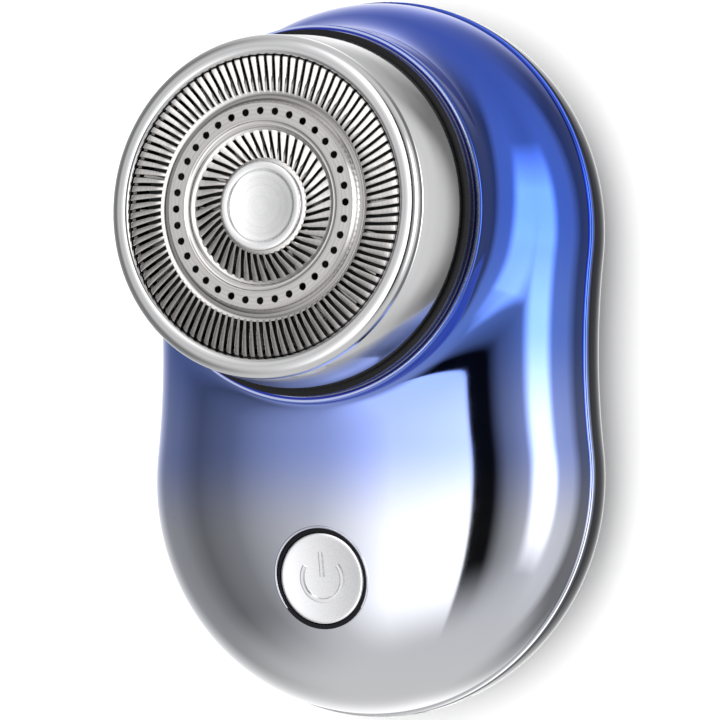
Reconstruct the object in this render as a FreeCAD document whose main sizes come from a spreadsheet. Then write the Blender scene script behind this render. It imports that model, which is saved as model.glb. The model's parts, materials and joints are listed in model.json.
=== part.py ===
import FreeCAD, Part
import math
import os
import re
import Sketcher
from FreeCAD import Placement, Rotation, Vector

# Pocket rotary shaver, lying on its back.  Millimetres.  +Z is the head's axis and points
# away from the back, +Y runs from the button end to the head end, and the origin is in the
# middle of the flat back.

doc = FreeCAD.newDocument("pocket_shaver")

# ---------------------------------------------------------------------------------------
# Driving dimensions
# ---------------------------------------------------------------------------------------
SIZES = {
    # the case: a two-lobed outline with a slight waist, domed to the front and the back
    "lobe_radius": 23.1,
    "lobe_spacing": 23.8,
    "waist_pinch": 0.7,
    "back_depth": 9.5,
    "back_power": 2.8,
    "back_flat": 0.55,
    "front_rise": 13.4,
    "front_power": 2.35,
    "front_flat": 0.12,
    "case_wall": 1.5,
    "tongue_gap": 0.1,
    "tongue_wall": 0.8,
    "tongue_height": 1.2,
    "tongue_root": 1.5,
    "gasket_width": 0.6,
    "gasket_depth": 0.5,
    # the round neck that carries the head
    "head_offset": 1.2,
    "neck_radius": 18.2,
    "neck_wall": 1.6,
    "neck_height": 14.7,
    "neck_flare": 0.25,
    "neck_straight": 2.2,
    "neck_root": 3.0,
    "well_depth": 3.4,
    "ledge_width": 4.5,
    "ledge_thickness": 1.6,
    "trim_thickness": 0.35,
    "trim_inset": 0.1,
    # the black seat in the neck
    "flange_thickness": 1.1,
    "flange_inset": 0.6,
    "seat_clearance": 0.1,
    "guide_wall": 2.9,
    "seat_floor": 1.4,
    "guide_height": 1.3,
    "o_ring_radius": 0.4,
    "o_ring_groove": 0.7,
    "seal_lip": 0.6,
    "seal_width": 1.4,
    # the removable head
    "lift_gap": 0.3,
    "cap_height": 8.4,
    "cap_inset": 0.6,
    "cap_lean": 0.75,
    "cap_wall": 1.0,
    "cap_rim_round": 0.95,
    "cap_edge_round": 0.5,
    "rim_width": 1.85,
    "foil_gap": 0.2,
    "foil_sink": 0.25,
    "foil_thickness": 0.35,
    "foil_depth": 2.6,
    "band_width": 2.6,
    "band_gap": 0.2,
    "band_rise": 0.5,
    "dot_radius": 0.36,
    "band_ramp": 0.4,
    "band_skin": 0.15,
    "dot_inset": 0.9,
    # how much of the pitch each slit takes at its inner end, and the plain land it stops at
    "slit_share": 0.6375,
    "inner_slit_share": 0.5262,
    "slit_land": 0.7,
    "rim_land": 0.6,
    "disc_gap": 0.65,
    "disc_height": 0.45,
    "disc_rim": 0.95,
    "dish_depth": 0.2,
    "retainer_thickness": 2.2,
    "magnet_radius": 0.65,
    "magnet_height": 1.2,
    # the turning cutter and its drive
    "blade_gap": 0.3,
    "blade_height": 1.5,
    "blade_thickness": 0.35,
    "inner_track": 2.2,
    "outer_track": 4.1,
    "carrier_thickness": 1.2,
    "drop_hole": 1.5,
    "hub_radius": 3.1,
    "hub_height": 3.2,
    "drive_side": 3.4,
    "drive_height": 2.9,
    "drive_clearance": 0.1,
    "stem_radius": 1.5,
    "collar_radius": 2.7,
    "collar_thickness": 0.6,
    "spring_height": 2.2,
    "spring_wire": 0.2,
    "running_clearance": 0.05,
    # the motor
    "motor_radius": 7.8,
    "motor_length": 14.0,
    "motor_wall": 0.5,
    "motor_gap": 0.05,
    "endbell_thickness": 1.8,
    "shaft_radius": 0.75,
    "bush_radius": 1.8,
    "bush_proud": 0.3,
    "magnet_wall": 1.3,
    "air_gap": 0.4,
    "motor_screw_circle": 5.0,
    "terminal_length": 2.0,
    # screws
    "screw_radius": 0.8,
    "screw_head": 1.5,
    "screw_head_height": 0.9,
    "boss_wall": 1.2,
    "post_inset": 1.5,
    "case_screw_length": 8.5,
    "case_screw_recess": 3.0,
    "small_screw_radius": 0.6,
    "small_screw_head": 1.1,
    "small_head_height": 0.7,
    "small_screw_length": 3.4,
    "thread_clearance": 0.02,
    # circuit board, port and battery
    "board_thickness": 1.0,
    "board_drop": 0.9,
    "board_margin": 0.5,
    "board_end": 1.2,
    "board_post_y": 7.0,
    "port_width": 8.94,
    "port_height": 3.26,
    "port_length": 7.3,
    "port_wall": 0.3,
    "port_sink": 1.0,
    "port_round": 1.3,
    "seal_wall": 0.35,
    "led_radius": 0.7,
    "led_offset": 4.0,
    "cell_width": 22.0,
    "cell_length": 21.0,
    "cell_thickness": 5.9,
    "cell_inset": 2.7,
    "pad_thickness": 0.6,
    "tab_width": 2.4,
    "wire_radius": 0.45,
    # the power button
    "button_radius": 4.45,
    "button_offset": 9.9,
    "button_tilt": 9.0,
    "button_sink": 0.35,
    "flange_gap": 0.12,
    "button_flange": 0.8,
    "flange_overlap": 0.9,
    "button_stem": 1.5,
    "button_seal": 0.42,
    "switch_side": 5.2,
    "switch_height": 1.6,
    "plunger_seat": 0.3,
    "switch_bore": 1.0,
    "plunger_radius": 0.9,
    "plunger_height": 0.8,
    "press_gap": 0.3,
}

# What is counted rather than measured.
DOTS = 36
OUTER_SLITS = 103
INNER_SLITS = 45
OUTER_BLADES = 24
INNER_BLADES = 12
DROP_HOLES = 6
MAGNETS = 4
SEAT_SCREWS = 3
# How far the slits lean round from the radius, in degrees.
OUTER_LEAN = -8
INNER_LEAN = -22

sheet = doc.addObject("Spreadsheet::Sheet", "sizes")
for row, (name, value) in enumerate(SIZES.items(), start=1):
    sheet.set("A%d" % row, name)
    sheet.set("B%d" % row, str(value))
    sheet.setAlias("B%d" % row, name)
doc.recompute()

ALIASES = re.compile(r"\b(%s)\b" % "|".join(sorted(SIZES, key=len, reverse=True)))


def bound(text):
    """An expression on the sheet's cells, from one that names them plainly."""
    text = str(text)
    for name in reversed(FOLLOWING):
        text = re.sub(r"\b%s\b" % name, FOLLOWING[name], text)
    return ALIASES.sub(r"sizes.\1", text)


def size(name):
    return float(getattr(sheet, name))


# Levels and places that several pieces share, as expressions on the sheet.
SEAM = "back_depth"
HEAD_Y = "(lobe_spacing/2 + head_offset)"
NECK_TOP = "(back_depth + neck_height)"
WELL_FLOOR = "(%s - well_depth)" % NECK_TOP
SEAT_FLOOR = "(%s + seat_floor)" % WELL_FLOOR
FLANGE_BASE = "(%s + trim_thickness)" % NECK_TOP
FLANGE_TOP = "(%s + flange_thickness)" % FLANGE_BASE
GUIDE_TOP = "(%s + guide_height)" % FLANGE_TOP
CAP_BASE = "(%s + lift_gap)" % FLANGE_TOP
CAP_TOP = "(%s + cap_height)" % CAP_BASE
FOIL_FACE = "(%s - foil_sink)" % CAP_TOP
FOIL_BACK = "(%s - foil_thickness)" % FOIL_FACE
FOIL_FLANGE = "(%s - foil_depth)" % FOIL_FACE
RETAINER_BASE = "(%s + lift_gap)" % GUIDE_TOP
BLADE_TOP = "(%s - blade_gap)" % FOIL_BACK
CARRIER_TOP = "(%s - blade_height)" % BLADE_TOP
CARRIER_BASE = "(%s - carrier_thickness)" % CARRIER_TOP
HUB_BASE = "(%s - hub_height)" % CARRIER_BASE
MOTOR_TOP = "(%s - motor_gap)" % WELL_FLOOR
MOTOR_BASE = "(%s - motor_length)" % MOTOR_TOP
ENDBELL_BASE = "(%s - endbell_thickness)" % MOTOR_BASE
BOARD_BASE = "(back_depth - board_drop)"
BOARD_TOP = "(%s + board_thickness)" % BOARD_BASE
CELL_BASE = "(case_wall + pad_thickness)"
CELL_TOP = "(%s + cell_thickness)" % CELL_BASE
CASE_HEAD_Z = "(case_wall + screw_head_height + case_screw_recess)"

BORE = "(neck_radius - neck_wall)"
SPIGOT = "(%s - seat_clearance)" % BORE
CAP_RADIUS = "(neck_radius - flange_inset - cap_inset)"
CAP_BORE = "(%s - cap_wall)" % CAP_RADIUS
GUIDE = "(%s - lift_gap)" % CAP_BORE

# Lengths that follow from the driving ones, each from those above it.
FOLLOWING = {
    "foil_radius": "(%s - cap_lean - rim_width - foil_gap)" % CAP_RADIUS,
    "track_outer_start": "(foil_radius - outer_track)",
    "band_outer": "(track_outer_start - band_gap)",
    "band_inner": "(band_outer - band_width)",
    "dot_circle": "(band_outer - dot_inset)",
    "track_inner_end": "(band_inner - band_gap)",
    "track_inner_start": "(track_inner_end - inner_track)",
    "disc_radius": "(track_inner_start - disc_gap)",
    "disc_dish": "(disc_radius - disc_rim)",
    "slit_start": "(track_outer_start + slit_land)",
    "slit_width": "(slit_share*2*pi*slit_start/%d)" % OUTER_SLITS,
    "inner_slit_width": "(inner_slit_share*2*pi*track_inner_start/%d)" % INNER_SLITS,
    "seat_bore": "(%s - guide_wall)" % GUIDE,
    # the dome falls away over the button's flange, so the flange lies deeper as it grows
    "button_height": "(case_wall - button_sink + flange_gap"
                     " + (button_radius + flange_overlap)^2/(1.5*lobe_radius))",
}

CUTTER_RADIUS = "(foil_radius - foil_thickness - blade_gap - running_clearance)"
RETAINER_BORE = "(%s + 0.35)" % CUTTER_RADIUS
MAGNET_CIRCLE = "((%s + %s)/2)" % (RETAINER_BORE, GUIDE)
SHAFT_HOLE = "(stem_radius + seal_width)"
SEAT_SCREW_CIRCLE = "(%s - 2.3)" % BORE

LOBE_Y = "(-lobe_spacing/2)"
CELL_Y = "(%s + cell_inset)" % LOBE_Y
CELL_END = "(%s + cell_length/2)" % CELL_Y
PORT_Y = "(%s - lobe_radius + port_sink)" % LOBE_Y
PORT_Z = "(%s - port_height/2)" % BOARD_BASE
LED_X = "(port_width/2 + led_offset)"
LED_Z = "(%s - led_radius - 0.15)" % BOARD_BASE
BUTTON_Y = "(%s - button_offset)" % LOBE_Y
BUTTON_Z = ("(back_depth + front_rise*(1 - (button_offset/lobe_radius)^front_power)"
            "^(1/front_power) - button_sink)")
PLUNGER_TOP = "(%s + switch_height + plunger_height)" % BOARD_TOP
STEM_LENGTH = "((%s - %s - press_gap)/cos(button_tilt))" % (BUTTON_Z, PLUNGER_TOP)
SWITCH_Y = "(%s + %s*sin(button_tilt))" % (BUTTON_Y, STEM_LENGTH)

parts = []


def keep(piece, label):
    """Counts an object as a finished sub-part and gives it its name."""
    piece.Label = label
    parts.append(piece)
    return piece


def bind(piece, **expressions):
    for name, text in expressions.items():
        piece.setExpression(name, bound(text))
    return piece


def place(piece, x="0", y="0", z="0", tilt=None):
    """Binds a piece's place, and its turn about X where it has one."""
    if tilt is not None:
        piece.Placement = Placement(Vector(), Rotation(Vector(1, 0, 0), 1.0))
        piece.setExpression("Placement.Rotation.Angle", bound(tilt))
    for axis, text in (("x", x), ("y", y), ("z", z)):
        if text != "0":
            piece.setExpression("Placement.Base.%s" % axis, bound(text))
    return piece


def box(width, length, height, x="0", y="0", z="0"):
    """A block centred on x, y with its underside at z."""
    block = bind(doc.addObject("Part::Box", "block"), Length=width, Width=length, Height=height)
    return place(block, "%s - (%s)/2" % (x, width), "%s - (%s)/2" % (y, length), z)


def rod(radius, height, x="0", y="0", z="0", tilt=None):
    """A cylinder along Z, or leaning from it, with its lower end at x, y, z."""
    body = bind(doc.addObject("Part::Cylinder", "rod"), Radius=radius, Height=height)
    return place(body, x, y, z, tilt)


def lying_rod(radius, length, x, y, z):
    """A cylinder along +Y that starts at x, y, z."""
    body = bind(doc.addObject("Part::Cylinder", "rod"), Radius=radius, Height=length)
    body.Placement = Placement(Vector(), Rotation(Vector(1, 0, 0), -90))
    return place(body, x, y, z)


def cut(base, tool):
    piece = doc.addObject("Part::Cut", "cut")
    piece.Base = base
    piece.Tool = tool
    return piece


def fuse(*pieces):
    if len(pieces) == 1:
        return pieces[0]
    piece = doc.addObject("Part::MultiFuse", "fused")
    piece.Shapes = list(pieces)
    return piece


def common(*pieces):
    piece = doc.addObject("Part::MultiCommon", "common")
    piece.Shapes = list(pieces)
    return piece


def group(*pieces):
    piece = doc.addObject("Part::Compound", "group")
    piece.Links = list(pieces)
    return piece


def tube(outer, inner, height, x="0", y="0", z="0"):
    return cut(rod(outer, height, x, y, z), rod(inner, height, x, y, z))


def computed(shape):
    piece = doc.addObject("Part::Feature", "form")
    piece.Shape = shape
    return piece


def around(count, radius, start=0.0):
    """The places of count pieces on a circle about the head's axis, from the angle start."""
    angles = [math.radians(start + 360.0 * step / count) for step in range(count)]
    return [("(%s)*(%.6f)" % (radius, math.cos(angle)),
             "(%s + (%s)*(%.6f))" % (HEAD_Y, radius, math.sin(angle))) for angle in angles]


def ring_name(shape, radius, height):
    """The name of the circular edge of that radius at that height."""
    for index, edge in enumerate(shape.Edges, start=1):
        if not isinstance(edge.Curve, Part.Circle):
            continue
        if abs(edge.Curve.Radius - radius) < 1e-4 and abs(edge.Curve.Center.z - height) < 1e-4:
            return "Edge%d" % index
    raise RuntimeError("no edge of radius %g at height %g" % (radius, height))


def turned(corners, rounds=None):
    """A body turned about the head's axis from a profile of (radius, height) corners.

    rounds gives a radius for each corner, by its number, that is rounded over."""
    body = doc.addObject("PartDesign::Body", "turned")
    sketch = body.newObject("Sketcher::SketchObject", "profile")
    plane = [face for face in body.Origin.OriginFeatures if face.Role == "XZ_Plane"][0]
    sketch.AttachmentSupport = [(plane, "")]
    sketch.MapMode = "FlatFace"
    count = len(corners)
    first_guess = [Vector(20 + 5 * math.cos(2 * math.pi * k / count),
                          20 + 5 * math.sin(2 * math.pi * k / count), 0) for k in range(count)]
    for k in range(count):
        sketch.addGeometry(Part.LineSegment(first_guess[k], first_guess[(k + 1) % count]))
    for k in range(count):
        sketch.addConstraint(Sketcher.Constraint("Coincident", k, 2, (k + 1) % count, 1))
    for k, (radius, height) in enumerate(corners):
        guess = first_guess[k]
        if radius == "0":
            sketch.addConstraint(Sketcher.Constraint("PointOnObject", k, 1, -2))
        else:
            index = sketch.addConstraint(Sketcher.Constraint("DistanceX", -1, 1, k, 1, guess.x))
            sketch.setExpression("Constraints[%d]" % index, bound(radius))
        index = sketch.addConstraint(Sketcher.Constraint("DistanceY", -1, 1, k, 1, guess.y))
        sketch.setExpression("Constraints[%d]" % index, bound(height))
    latest = body.newObject("PartDesign::Revolution", "spin")
    latest.Profile = sketch
    latest.ReferenceAxis = (sketch, ["V_Axis"])
    latest.Angle = 360
    doc.recompute()
    for corner, radius in (rounds or {}).items():
        point = sketch.Geometry[corner].StartPoint
        rounded = body.newObject("PartDesign::Fillet", "rounded")
        rounded.Base = (latest, [ring_name(latest.Shape, point.x, point.y)])
        bind(rounded, Radius=radius)
        doc.recompute()
        latest = rounded
    body.Tip = latest
    return place(body, "0", HEAD_Y, "0")


# ---------------------------------------------------------------------------------------
# The case's outline and domes
# ---------------------------------------------------------------------------------------
def outline(radius, waist, z):
    """The two-lobed outline: round ends of one radius, joined by long hollow waist arcs."""
    half = size("lobe_spacing") / 2
    if radius - waist < 1e-6:
        raise ValueError("the waist has to be narrower than the lobes")
    sweep = (half * half - radius * radius + waist * waist) / (2 * (radius - waist))
    centre_x = waist + sweep
    angle = math.atan2(half, centre_x)
    tangent = Vector(radius * math.cos(angle), half - radius * math.sin(angle), z)

    def mirrored(point, x, y):
        return Vector(point.x * x, point.y * y, z)

    top = Part.Arc(mirrored(tangent, 1, 1), Vector(0, half + radius, z), mirrored(tangent, -1, 1))
    left = Part.Arc(mirrored(tangent, -1, 1), Vector(-waist, 0, z), mirrored(tangent, -1, -1))
    end = Part.Arc(mirrored(tangent, -1, -1), Vector(0, -half - radius, z),
                   mirrored(tangent, 1, -1))
    right = Part.Arc(mirrored(tangent, 1, -1), Vector(waist, 0, z), mirrored(tangent, 1, 1))
    return Part.Wire([arc.toShape() for arc in (top, left, end, right)])


def inset_outline(inset, z):
    radius = size("lobe_radius") - inset
    return outline(radius, radius - size("waist_pinch"), z)


def dome(inset, rise, power, flat, sections=10):
    """A dome over the outline, set in all round and at the top.  Its edge is at the seam.

    rise is negative for the back.  flat is the share of the outline's lobe radius that is
    left flat at the top, where the dome is cut off."""
    seam = size("back_depth")
    radius = size("lobe_radius") - inset
    waist = radius - size("waist_pinch")
    flat_level = (1 - flat ** power) ** (1 / power)
    last = math.acos(flat ** (power / 2))
    height = math.copysign(abs(rise) - inset, rise)
    wires = []
    for step in range(sections):
        turn = last * step / (sections - 1)
        share = math.cos(turn) ** (2 / power)
        level = math.sin(turn) ** (2 / power) / flat_level
        wires.append(outline(radius * share, waist * share, seam + height * level))
    return Part.makeLoft(wires, True, False)


def ring(outer, inner, z, height):
    """A band that follows the outline between two insets."""
    plate = Part.Face(inset_outline(outer, z)).extrude(Vector(0, 0, height))
    hole = Part.Face(inset_outline(inner, z)).extrude(Vector(0, 0, height))
    return plate.cut(hole)


def front_form(inset):
    return dome(inset, size("front_rise"), size("front_power"), size("front_flat"))


def back_form(inset):
    return dome(inset, -size("back_depth"), size("back_power"), size("back_flat"))


wall = size("case_wall")


def screw(radius, head, head_height, length, x, y, z, up=True):
    """A screw whose head's bearing face is at z, with its shank going up or down from it."""
    if up:
        shank = rod(radius, length, x, y, z)
        cap = rod(head, head_height, x, y, "%s - %s" % (z, head_height))
    else:
        shank = rod(radius, length, x, y, "%s - %s" % (z, length))
        cap = rod(head, head_height, x, y, z)
    socket = rod("%s*0.45" % head, "%s*0.5" % head_height, x, y,
                 "%s - %s" % (z, head_height) if up else "%s + %s*0.5" % (z, head_height))
    return cut(fuse(shank, cap), socket)


# ---------------------------------------------------------------------------------------
# Places of the fasteners
# ---------------------------------------------------------------------------------------
CASE_POST = "(screw_radius + boss_wall)"
REAR_POST = "(screw_head + boss_wall*0.75)"
CASE_POST_REACH = "(lobe_radius - case_wall - %s - post_inset)" % CASE_POST
SMALL_BOSS = "(small_screw_radius + boss_wall)"


def case_screw_places():
    """One near each corner of the outline, on each lobe's own circle."""
    diagonal = math.sqrt(0.5)
    return [("(%d*%s*%.6f)" % (across, CASE_POST_REACH, diagonal),
             "(%d*(lobe_spacing/2 + %s*%.6f))" % (along, CASE_POST_REACH, diagonal))
            for along in (1, -1) for across in (1, -1)]


def seat_screw_places():
    return around(SEAT_SCREWS, SEAT_SCREW_CIRCLE, start=30)


def magnet_places():
    return around(MAGNETS, MAGNET_CIRCLE, start=45)


def board_screw_places():
    return [("(%d*(cell_width/2 + 3))" % side, "(%s + board_post_y)" % LOBE_Y)
            for side in (1, -1)]


def on_button_axis(radius, low, high):
    """A round piece on the button's leaning axis, between two levels below its face."""
    return rod(radius, "(%s) - (%s)" % (low, high), "0",
               "%s + (%s)*sin(button_tilt)" % (BUTTON_Y, low),
               "%s - (%s)*cos(button_tilt)" % (BUTTON_Z, low), tilt="button_tilt")


def port_block(extra, length, y):
    """A block of the port's rounded outline, wider by extra all round, that runs on from y."""
    block = box("port_width + 2*(%s)" % extra, length, "port_height + 2*(%s)" % extra, "0",
                "%s + (%s)/2" % (y, length), "%s - port_height/2 - (%s)" % (PORT_Z, extra))
    doc.recompute()
    rounded = doc.addObject("Part::Fillet", "rounded")
    rounded.Base = block
    rounded.Edges = [(index, size("port_round"), size("port_round"))
                     for index, edge in enumerate(block.Shape.Edges, start=1)
                     if abs(edge.tangentAt(edge.FirstParameter).y) > 0.9]
    return rounded


# ---------------------------------------------------------------------------------------
# Case
# ---------------------------------------------------------------------------------------
outer_front = front_form(0)
inner_front = front_form(wall)
outer_back = back_form(0)
inner_back = back_form(wall)


def make_front_shell():
    """The front moulding: dome, neck, the well that the head's seat drops into, bosses."""
    foot = "(back_depth + neck_root)"
    flare_top = "(%s - neck_straight)" % NECK_TOP
    flare = "(neck_radius + neck_flare*(%s - %s))" % (flare_top, foot)
    stump = turned([("0", foot), (flare, foot), ("neck_radius", flare_top),
                    ("neck_radius", NECK_TOP), ("0", NECK_TOP)])
    skin = cut(fuse(computed(outer_front), stump), computed(inner_front))
    ledge_base = "(%s - ledge_thickness)" % WELL_FLOOR
    cup = rod("neck_radius - neck_wall/4", "well_depth + ledge_thickness - 1", "0", HEAD_Y,
              ledge_base)
    neck = cut(cut(fuse(skin, cup), rod(BORE, "well_depth + 1", "0", HEAD_Y, WELL_FLOOR)),
               rod("%s - ledge_width" % BORE, "ledge_thickness + 1", "0", HEAD_Y,
                   "%s - 0.5" % ledge_base))
    below_well = rod("lobe_radius*3", "%s - ledge_thickness - back_depth" % WELL_FLOOR, z=SEAM)
    posts = common(fuse(*[rod(CASE_POST, "front_rise", x, y, SEAM)
                          for x, y in case_screw_places()]),
                   computed(front_form(wall / 2)), below_well)
    board_posts = common(fuse(*[rod(SMALL_BOSS, "front_rise", x, y, BOARD_TOP)
                                for x, y in board_screw_places()]),
                         computed(front_form(wall / 2)))
    bosses = [rod(SMALL_BOSS, "small_screw_length - ledge_thickness/2", x, y,
                  "%s - small_screw_length" % WELL_FLOOR) for x, y in seat_screw_places()]
    pilot = "small_screw_radius + thread_clearance"
    holes = [rod("screw_radius + thread_clearance",
                 "%s + case_screw_length - back_depth + 0.8" % CASE_HEAD_Z, x, y,
                 "back_depth - 0.5") for x, y in case_screw_places()]
    holes += [rod(pilot, "small_screw_length + 1", x, y, "%s - 0.5" % BOARD_TOP)
              for x, y in board_screw_places()]
    holes += [rod(pilot, "small_screw_length + 1", x, y,
                  "%s - small_screw_length - 0.5" % WELL_FLOOR)
              for x, y in seat_screw_places()]
    holes += [on_button_axis("button_radius + running_clearance + button_seal",
                             "button_height + 3", "-3")]
    solid = fuse(fuse(neck, posts), board_posts, *bosses)
    return keep(cut(cut(solid, group(*holes[:-1])), holes[-1]), "front_shell")


def make_rear_shell():
    """The back moulding: a shallow dish with a flat back, and a tongue inside the front."""
    tongue_inset = wall + size("tongue_gap")
    tongue_inner = tongue_inset + size("tongue_wall")
    root = size("back_depth") - size("tongue_root")
    tongue = ring(tongue_inset, tongue_inner, root, size("tongue_root") + size("tongue_height"))
    groove = gasket_ring(1.0)
    skin = outer_back.cut(inner_back).fuse([tongue, tongue_shelf().common(outer_back)])
    skin = skin.cut(groove)
    posts = common(fuse(*[rod(REAR_POST, SEAM, x, y) for x, y in case_screw_places()]),
                   computed(back_form(wall / 2)))
    holes = [rod("screw_radius + 0.15", "back_depth + 1", x, y, "-0.5")
             for x, y in case_screw_places()]
    holes += [rod("screw_head + 0.2", "%s + 0.5" % CASE_HEAD_Z, x, y, "-0.5")
              for x, y in case_screw_places()]
    holes += [port_block("seal_wall", "case_wall*6", "%s - case_wall*2" % PORT_Y),
              lying_rod("led_radius", "lobe_radius/2", LED_X,
                        "%s - lobe_radius/4" % PORT_Y, LED_Z)]
    return keep(cut(cut(fuse(computed(skin), posts), fuse(*holes[:8])), group(*holes[8:])),
                "rear_shell")


def tongue_shelf():
    """The shelf that joins the tongue to the wall, under the gasket's groove."""
    tongue_inner = wall + size("tongue_gap") + size("tongue_wall")
    return ring(wall / 2, tongue_inner, size("back_depth") - size("tongue_root"),
                size("tongue_root") - size("gasket_depth"))


def gasket_ring(extra):
    inset = (wall - size("gasket_width")) / 2
    depth = size("gasket_depth")
    return ring(inset, inset + size("gasket_width"), size("back_depth") - depth, depth + extra)


def make_case():
    make_front_shell()
    make_rear_shell()
    keep(computed(gasket_ring(0)), "seam_gasket")
    keep(group(*[screw("screw_radius", "screw_head", "screw_head_height", "case_screw_length",
                       x, y, CASE_HEAD_Z) for x, y in case_screw_places()]), "case_screws")
    keep(turned([(BORE, NECK_TOP), ("neck_radius - trim_inset", NECK_TOP),
                 ("neck_radius - trim_inset", FLANGE_BASE), (BORE, FLANGE_BASE)]), "neck_trim")


# ---------------------------------------------------------------------------------------
# The seat in the neck, which the head pulls down onto
# ---------------------------------------------------------------------------------------
def make_seat():
    groove = "(%s + 1.2)" % WELL_FLOOR
    groove_top = "(%s + 2*o_ring_radius + 0.1)" % groove
    groove_wall = "(%s - o_ring_groove)" % SPIGOT
    body = turned([
        (SHAFT_HOLE, WELL_FLOOR), (SPIGOT, WELL_FLOOR), (SPIGOT, groove), (groove_wall, groove),
        (groove_wall, groove_top), (SPIGOT, groove_top), (SPIGOT, FLANGE_BASE),
        ("neck_radius - flange_inset", FLANGE_BASE), ("neck_radius - flange_inset", FLANGE_TOP),
        (GUIDE, FLANGE_TOP), (GUIDE, GUIDE_TOP), ("seat_bore", GUIDE_TOP),
        ("seat_bore", SEAT_FLOOR), (SHAFT_HOLE, SEAT_FLOOR)])
    holes = [rod("magnet_radius", "magnet_height + 1", x, y, "%s - magnet_height" % GUIDE_TOP)
             for x, y in magnet_places()]
    for x, y in seat_screw_places():
        holes.append(rod("small_screw_radius + 0.1", "seat_floor + 1", x, y,
                         "%s - 0.5" % WELL_FLOOR))
        holes.append(rod("small_screw_head + 0.1", "well_depth + neck_height", x, y, SEAT_FLOOR))
    for x, y in motor_screw_places():
        holes.append(rod("small_screw_radius + 0.1", "seat_floor + 1", x, y,
                         "%s - 0.5" % WELL_FLOOR))
    keep(cut(body, fuse(*holes)), "head_seat")
    keep(place(bind(doc.addObject("Part::Torus", "ring"),
                    Radius1="%s - o_ring_radius" % BORE, Radius2="o_ring_radius"),
               "0", HEAD_Y, "%s + o_ring_radius + 0.05" % groove), "seat_o_ring")
    keep(group(*[rod("magnet_radius - thread_clearance", "magnet_height", x, y,
                     "%s - magnet_height" % GUIDE_TOP) for x, y in magnet_places()]),
         "seat_magnets")
    keep(group(*[screw("small_screw_radius", "small_screw_head", "small_head_height",
                       "small_screw_length + seat_floor - 0.5", x, y, SEAT_FLOOR, up=False)
                 for x, y in seat_screw_places()]), "seat_screws")
    keep(turned([
        ("stem_radius + running_clearance", "%s - seat_floor/2" % SEAT_FLOOR),
        (SHAFT_HOLE, "%s - seat_floor/2" % SEAT_FLOOR), (SHAFT_HOLE, SEAT_FLOOR),
        ("stem_radius + 0.5", "%s + seal_lip" % SEAT_FLOOR),
        ("stem_radius + running_clearance", "%s + seal_lip" % SEAT_FLOOR)]), "shaft_seal")


# ---------------------------------------------------------------------------------------
# The motor
# ---------------------------------------------------------------------------------------
def motor_screw_places():
    return around(2, "motor_screw_circle")


def make_motor():
    plate = "(%s - 0.6)" % MOTOR_TOP
    can_bore = "(motor_radius - motor_wall)"
    can = turned([
        ("bush_radius", plate), ("bush_radius", MOTOR_TOP), ("motor_radius", MOTOR_TOP),
        ("motor_radius", MOTOR_BASE), (can_bore, MOTOR_BASE), (can_bore, plate)])
    threads = [rod("small_screw_radius + thread_clearance", "1.6", x, y, "%s - 1.1" % MOTOR_TOP)
               for x, y in motor_screw_places()]
    keep(cut(can, fuse(*threads)), "motor_can")
    keep(turned([
        ("bush_radius", ENDBELL_BASE), ("motor_radius - 0.6", ENDBELL_BASE),
        ("motor_radius", "%s + 0.6" % ENDBELL_BASE), ("motor_radius", MOTOR_BASE),
        (can_bore, MOTOR_BASE), (can_bore, "%s + 0.6" % MOTOR_BASE),
        ("bush_radius", "%s + 0.6" % MOTOR_BASE)]), "motor_endbell")
    bush_bore = "shaft_radius + running_clearance"
    keep(group(tube("bush_radius", bush_bore, "1.6 + bush_proud", "0", HEAD_Y,
                    "%s - 1.6" % MOTOR_TOP),
               tube("bush_radius", bush_bore, "endbell_thickness + 0.8", "0", HEAD_Y,
                    ENDBELL_BASE)), "motor_bushes")
    magnets = tube(can_bore, "%s - magnet_wall" % can_bore, "motor_length - 5", "0", HEAD_Y,
                   "%s + 2.4" % MOTOR_BASE)
    gap = box("2.4", "3*motor_radius", "motor_length", "0", HEAD_Y, MOTOR_BASE)
    keep(cut(magnets, gap), "motor_magnets")
    keep(group(*[box("1.4", "0.4", "terminal_length", "%d*2.6" % side,
                     "%s - motor_radius*0.72" % HEAD_Y, "%s - terminal_length" % ENDBELL_BASE)
                 for side in (1, -1)]), "motor_terminals")
    keep(group(*[screw("small_screw_radius", "small_screw_head", "small_head_height",
                       "seat_floor + motor_gap + 0.6", x, y, SEAT_FLOOR, up=False)
                 for x, y in motor_screw_places()]), "motor_screws")


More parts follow.
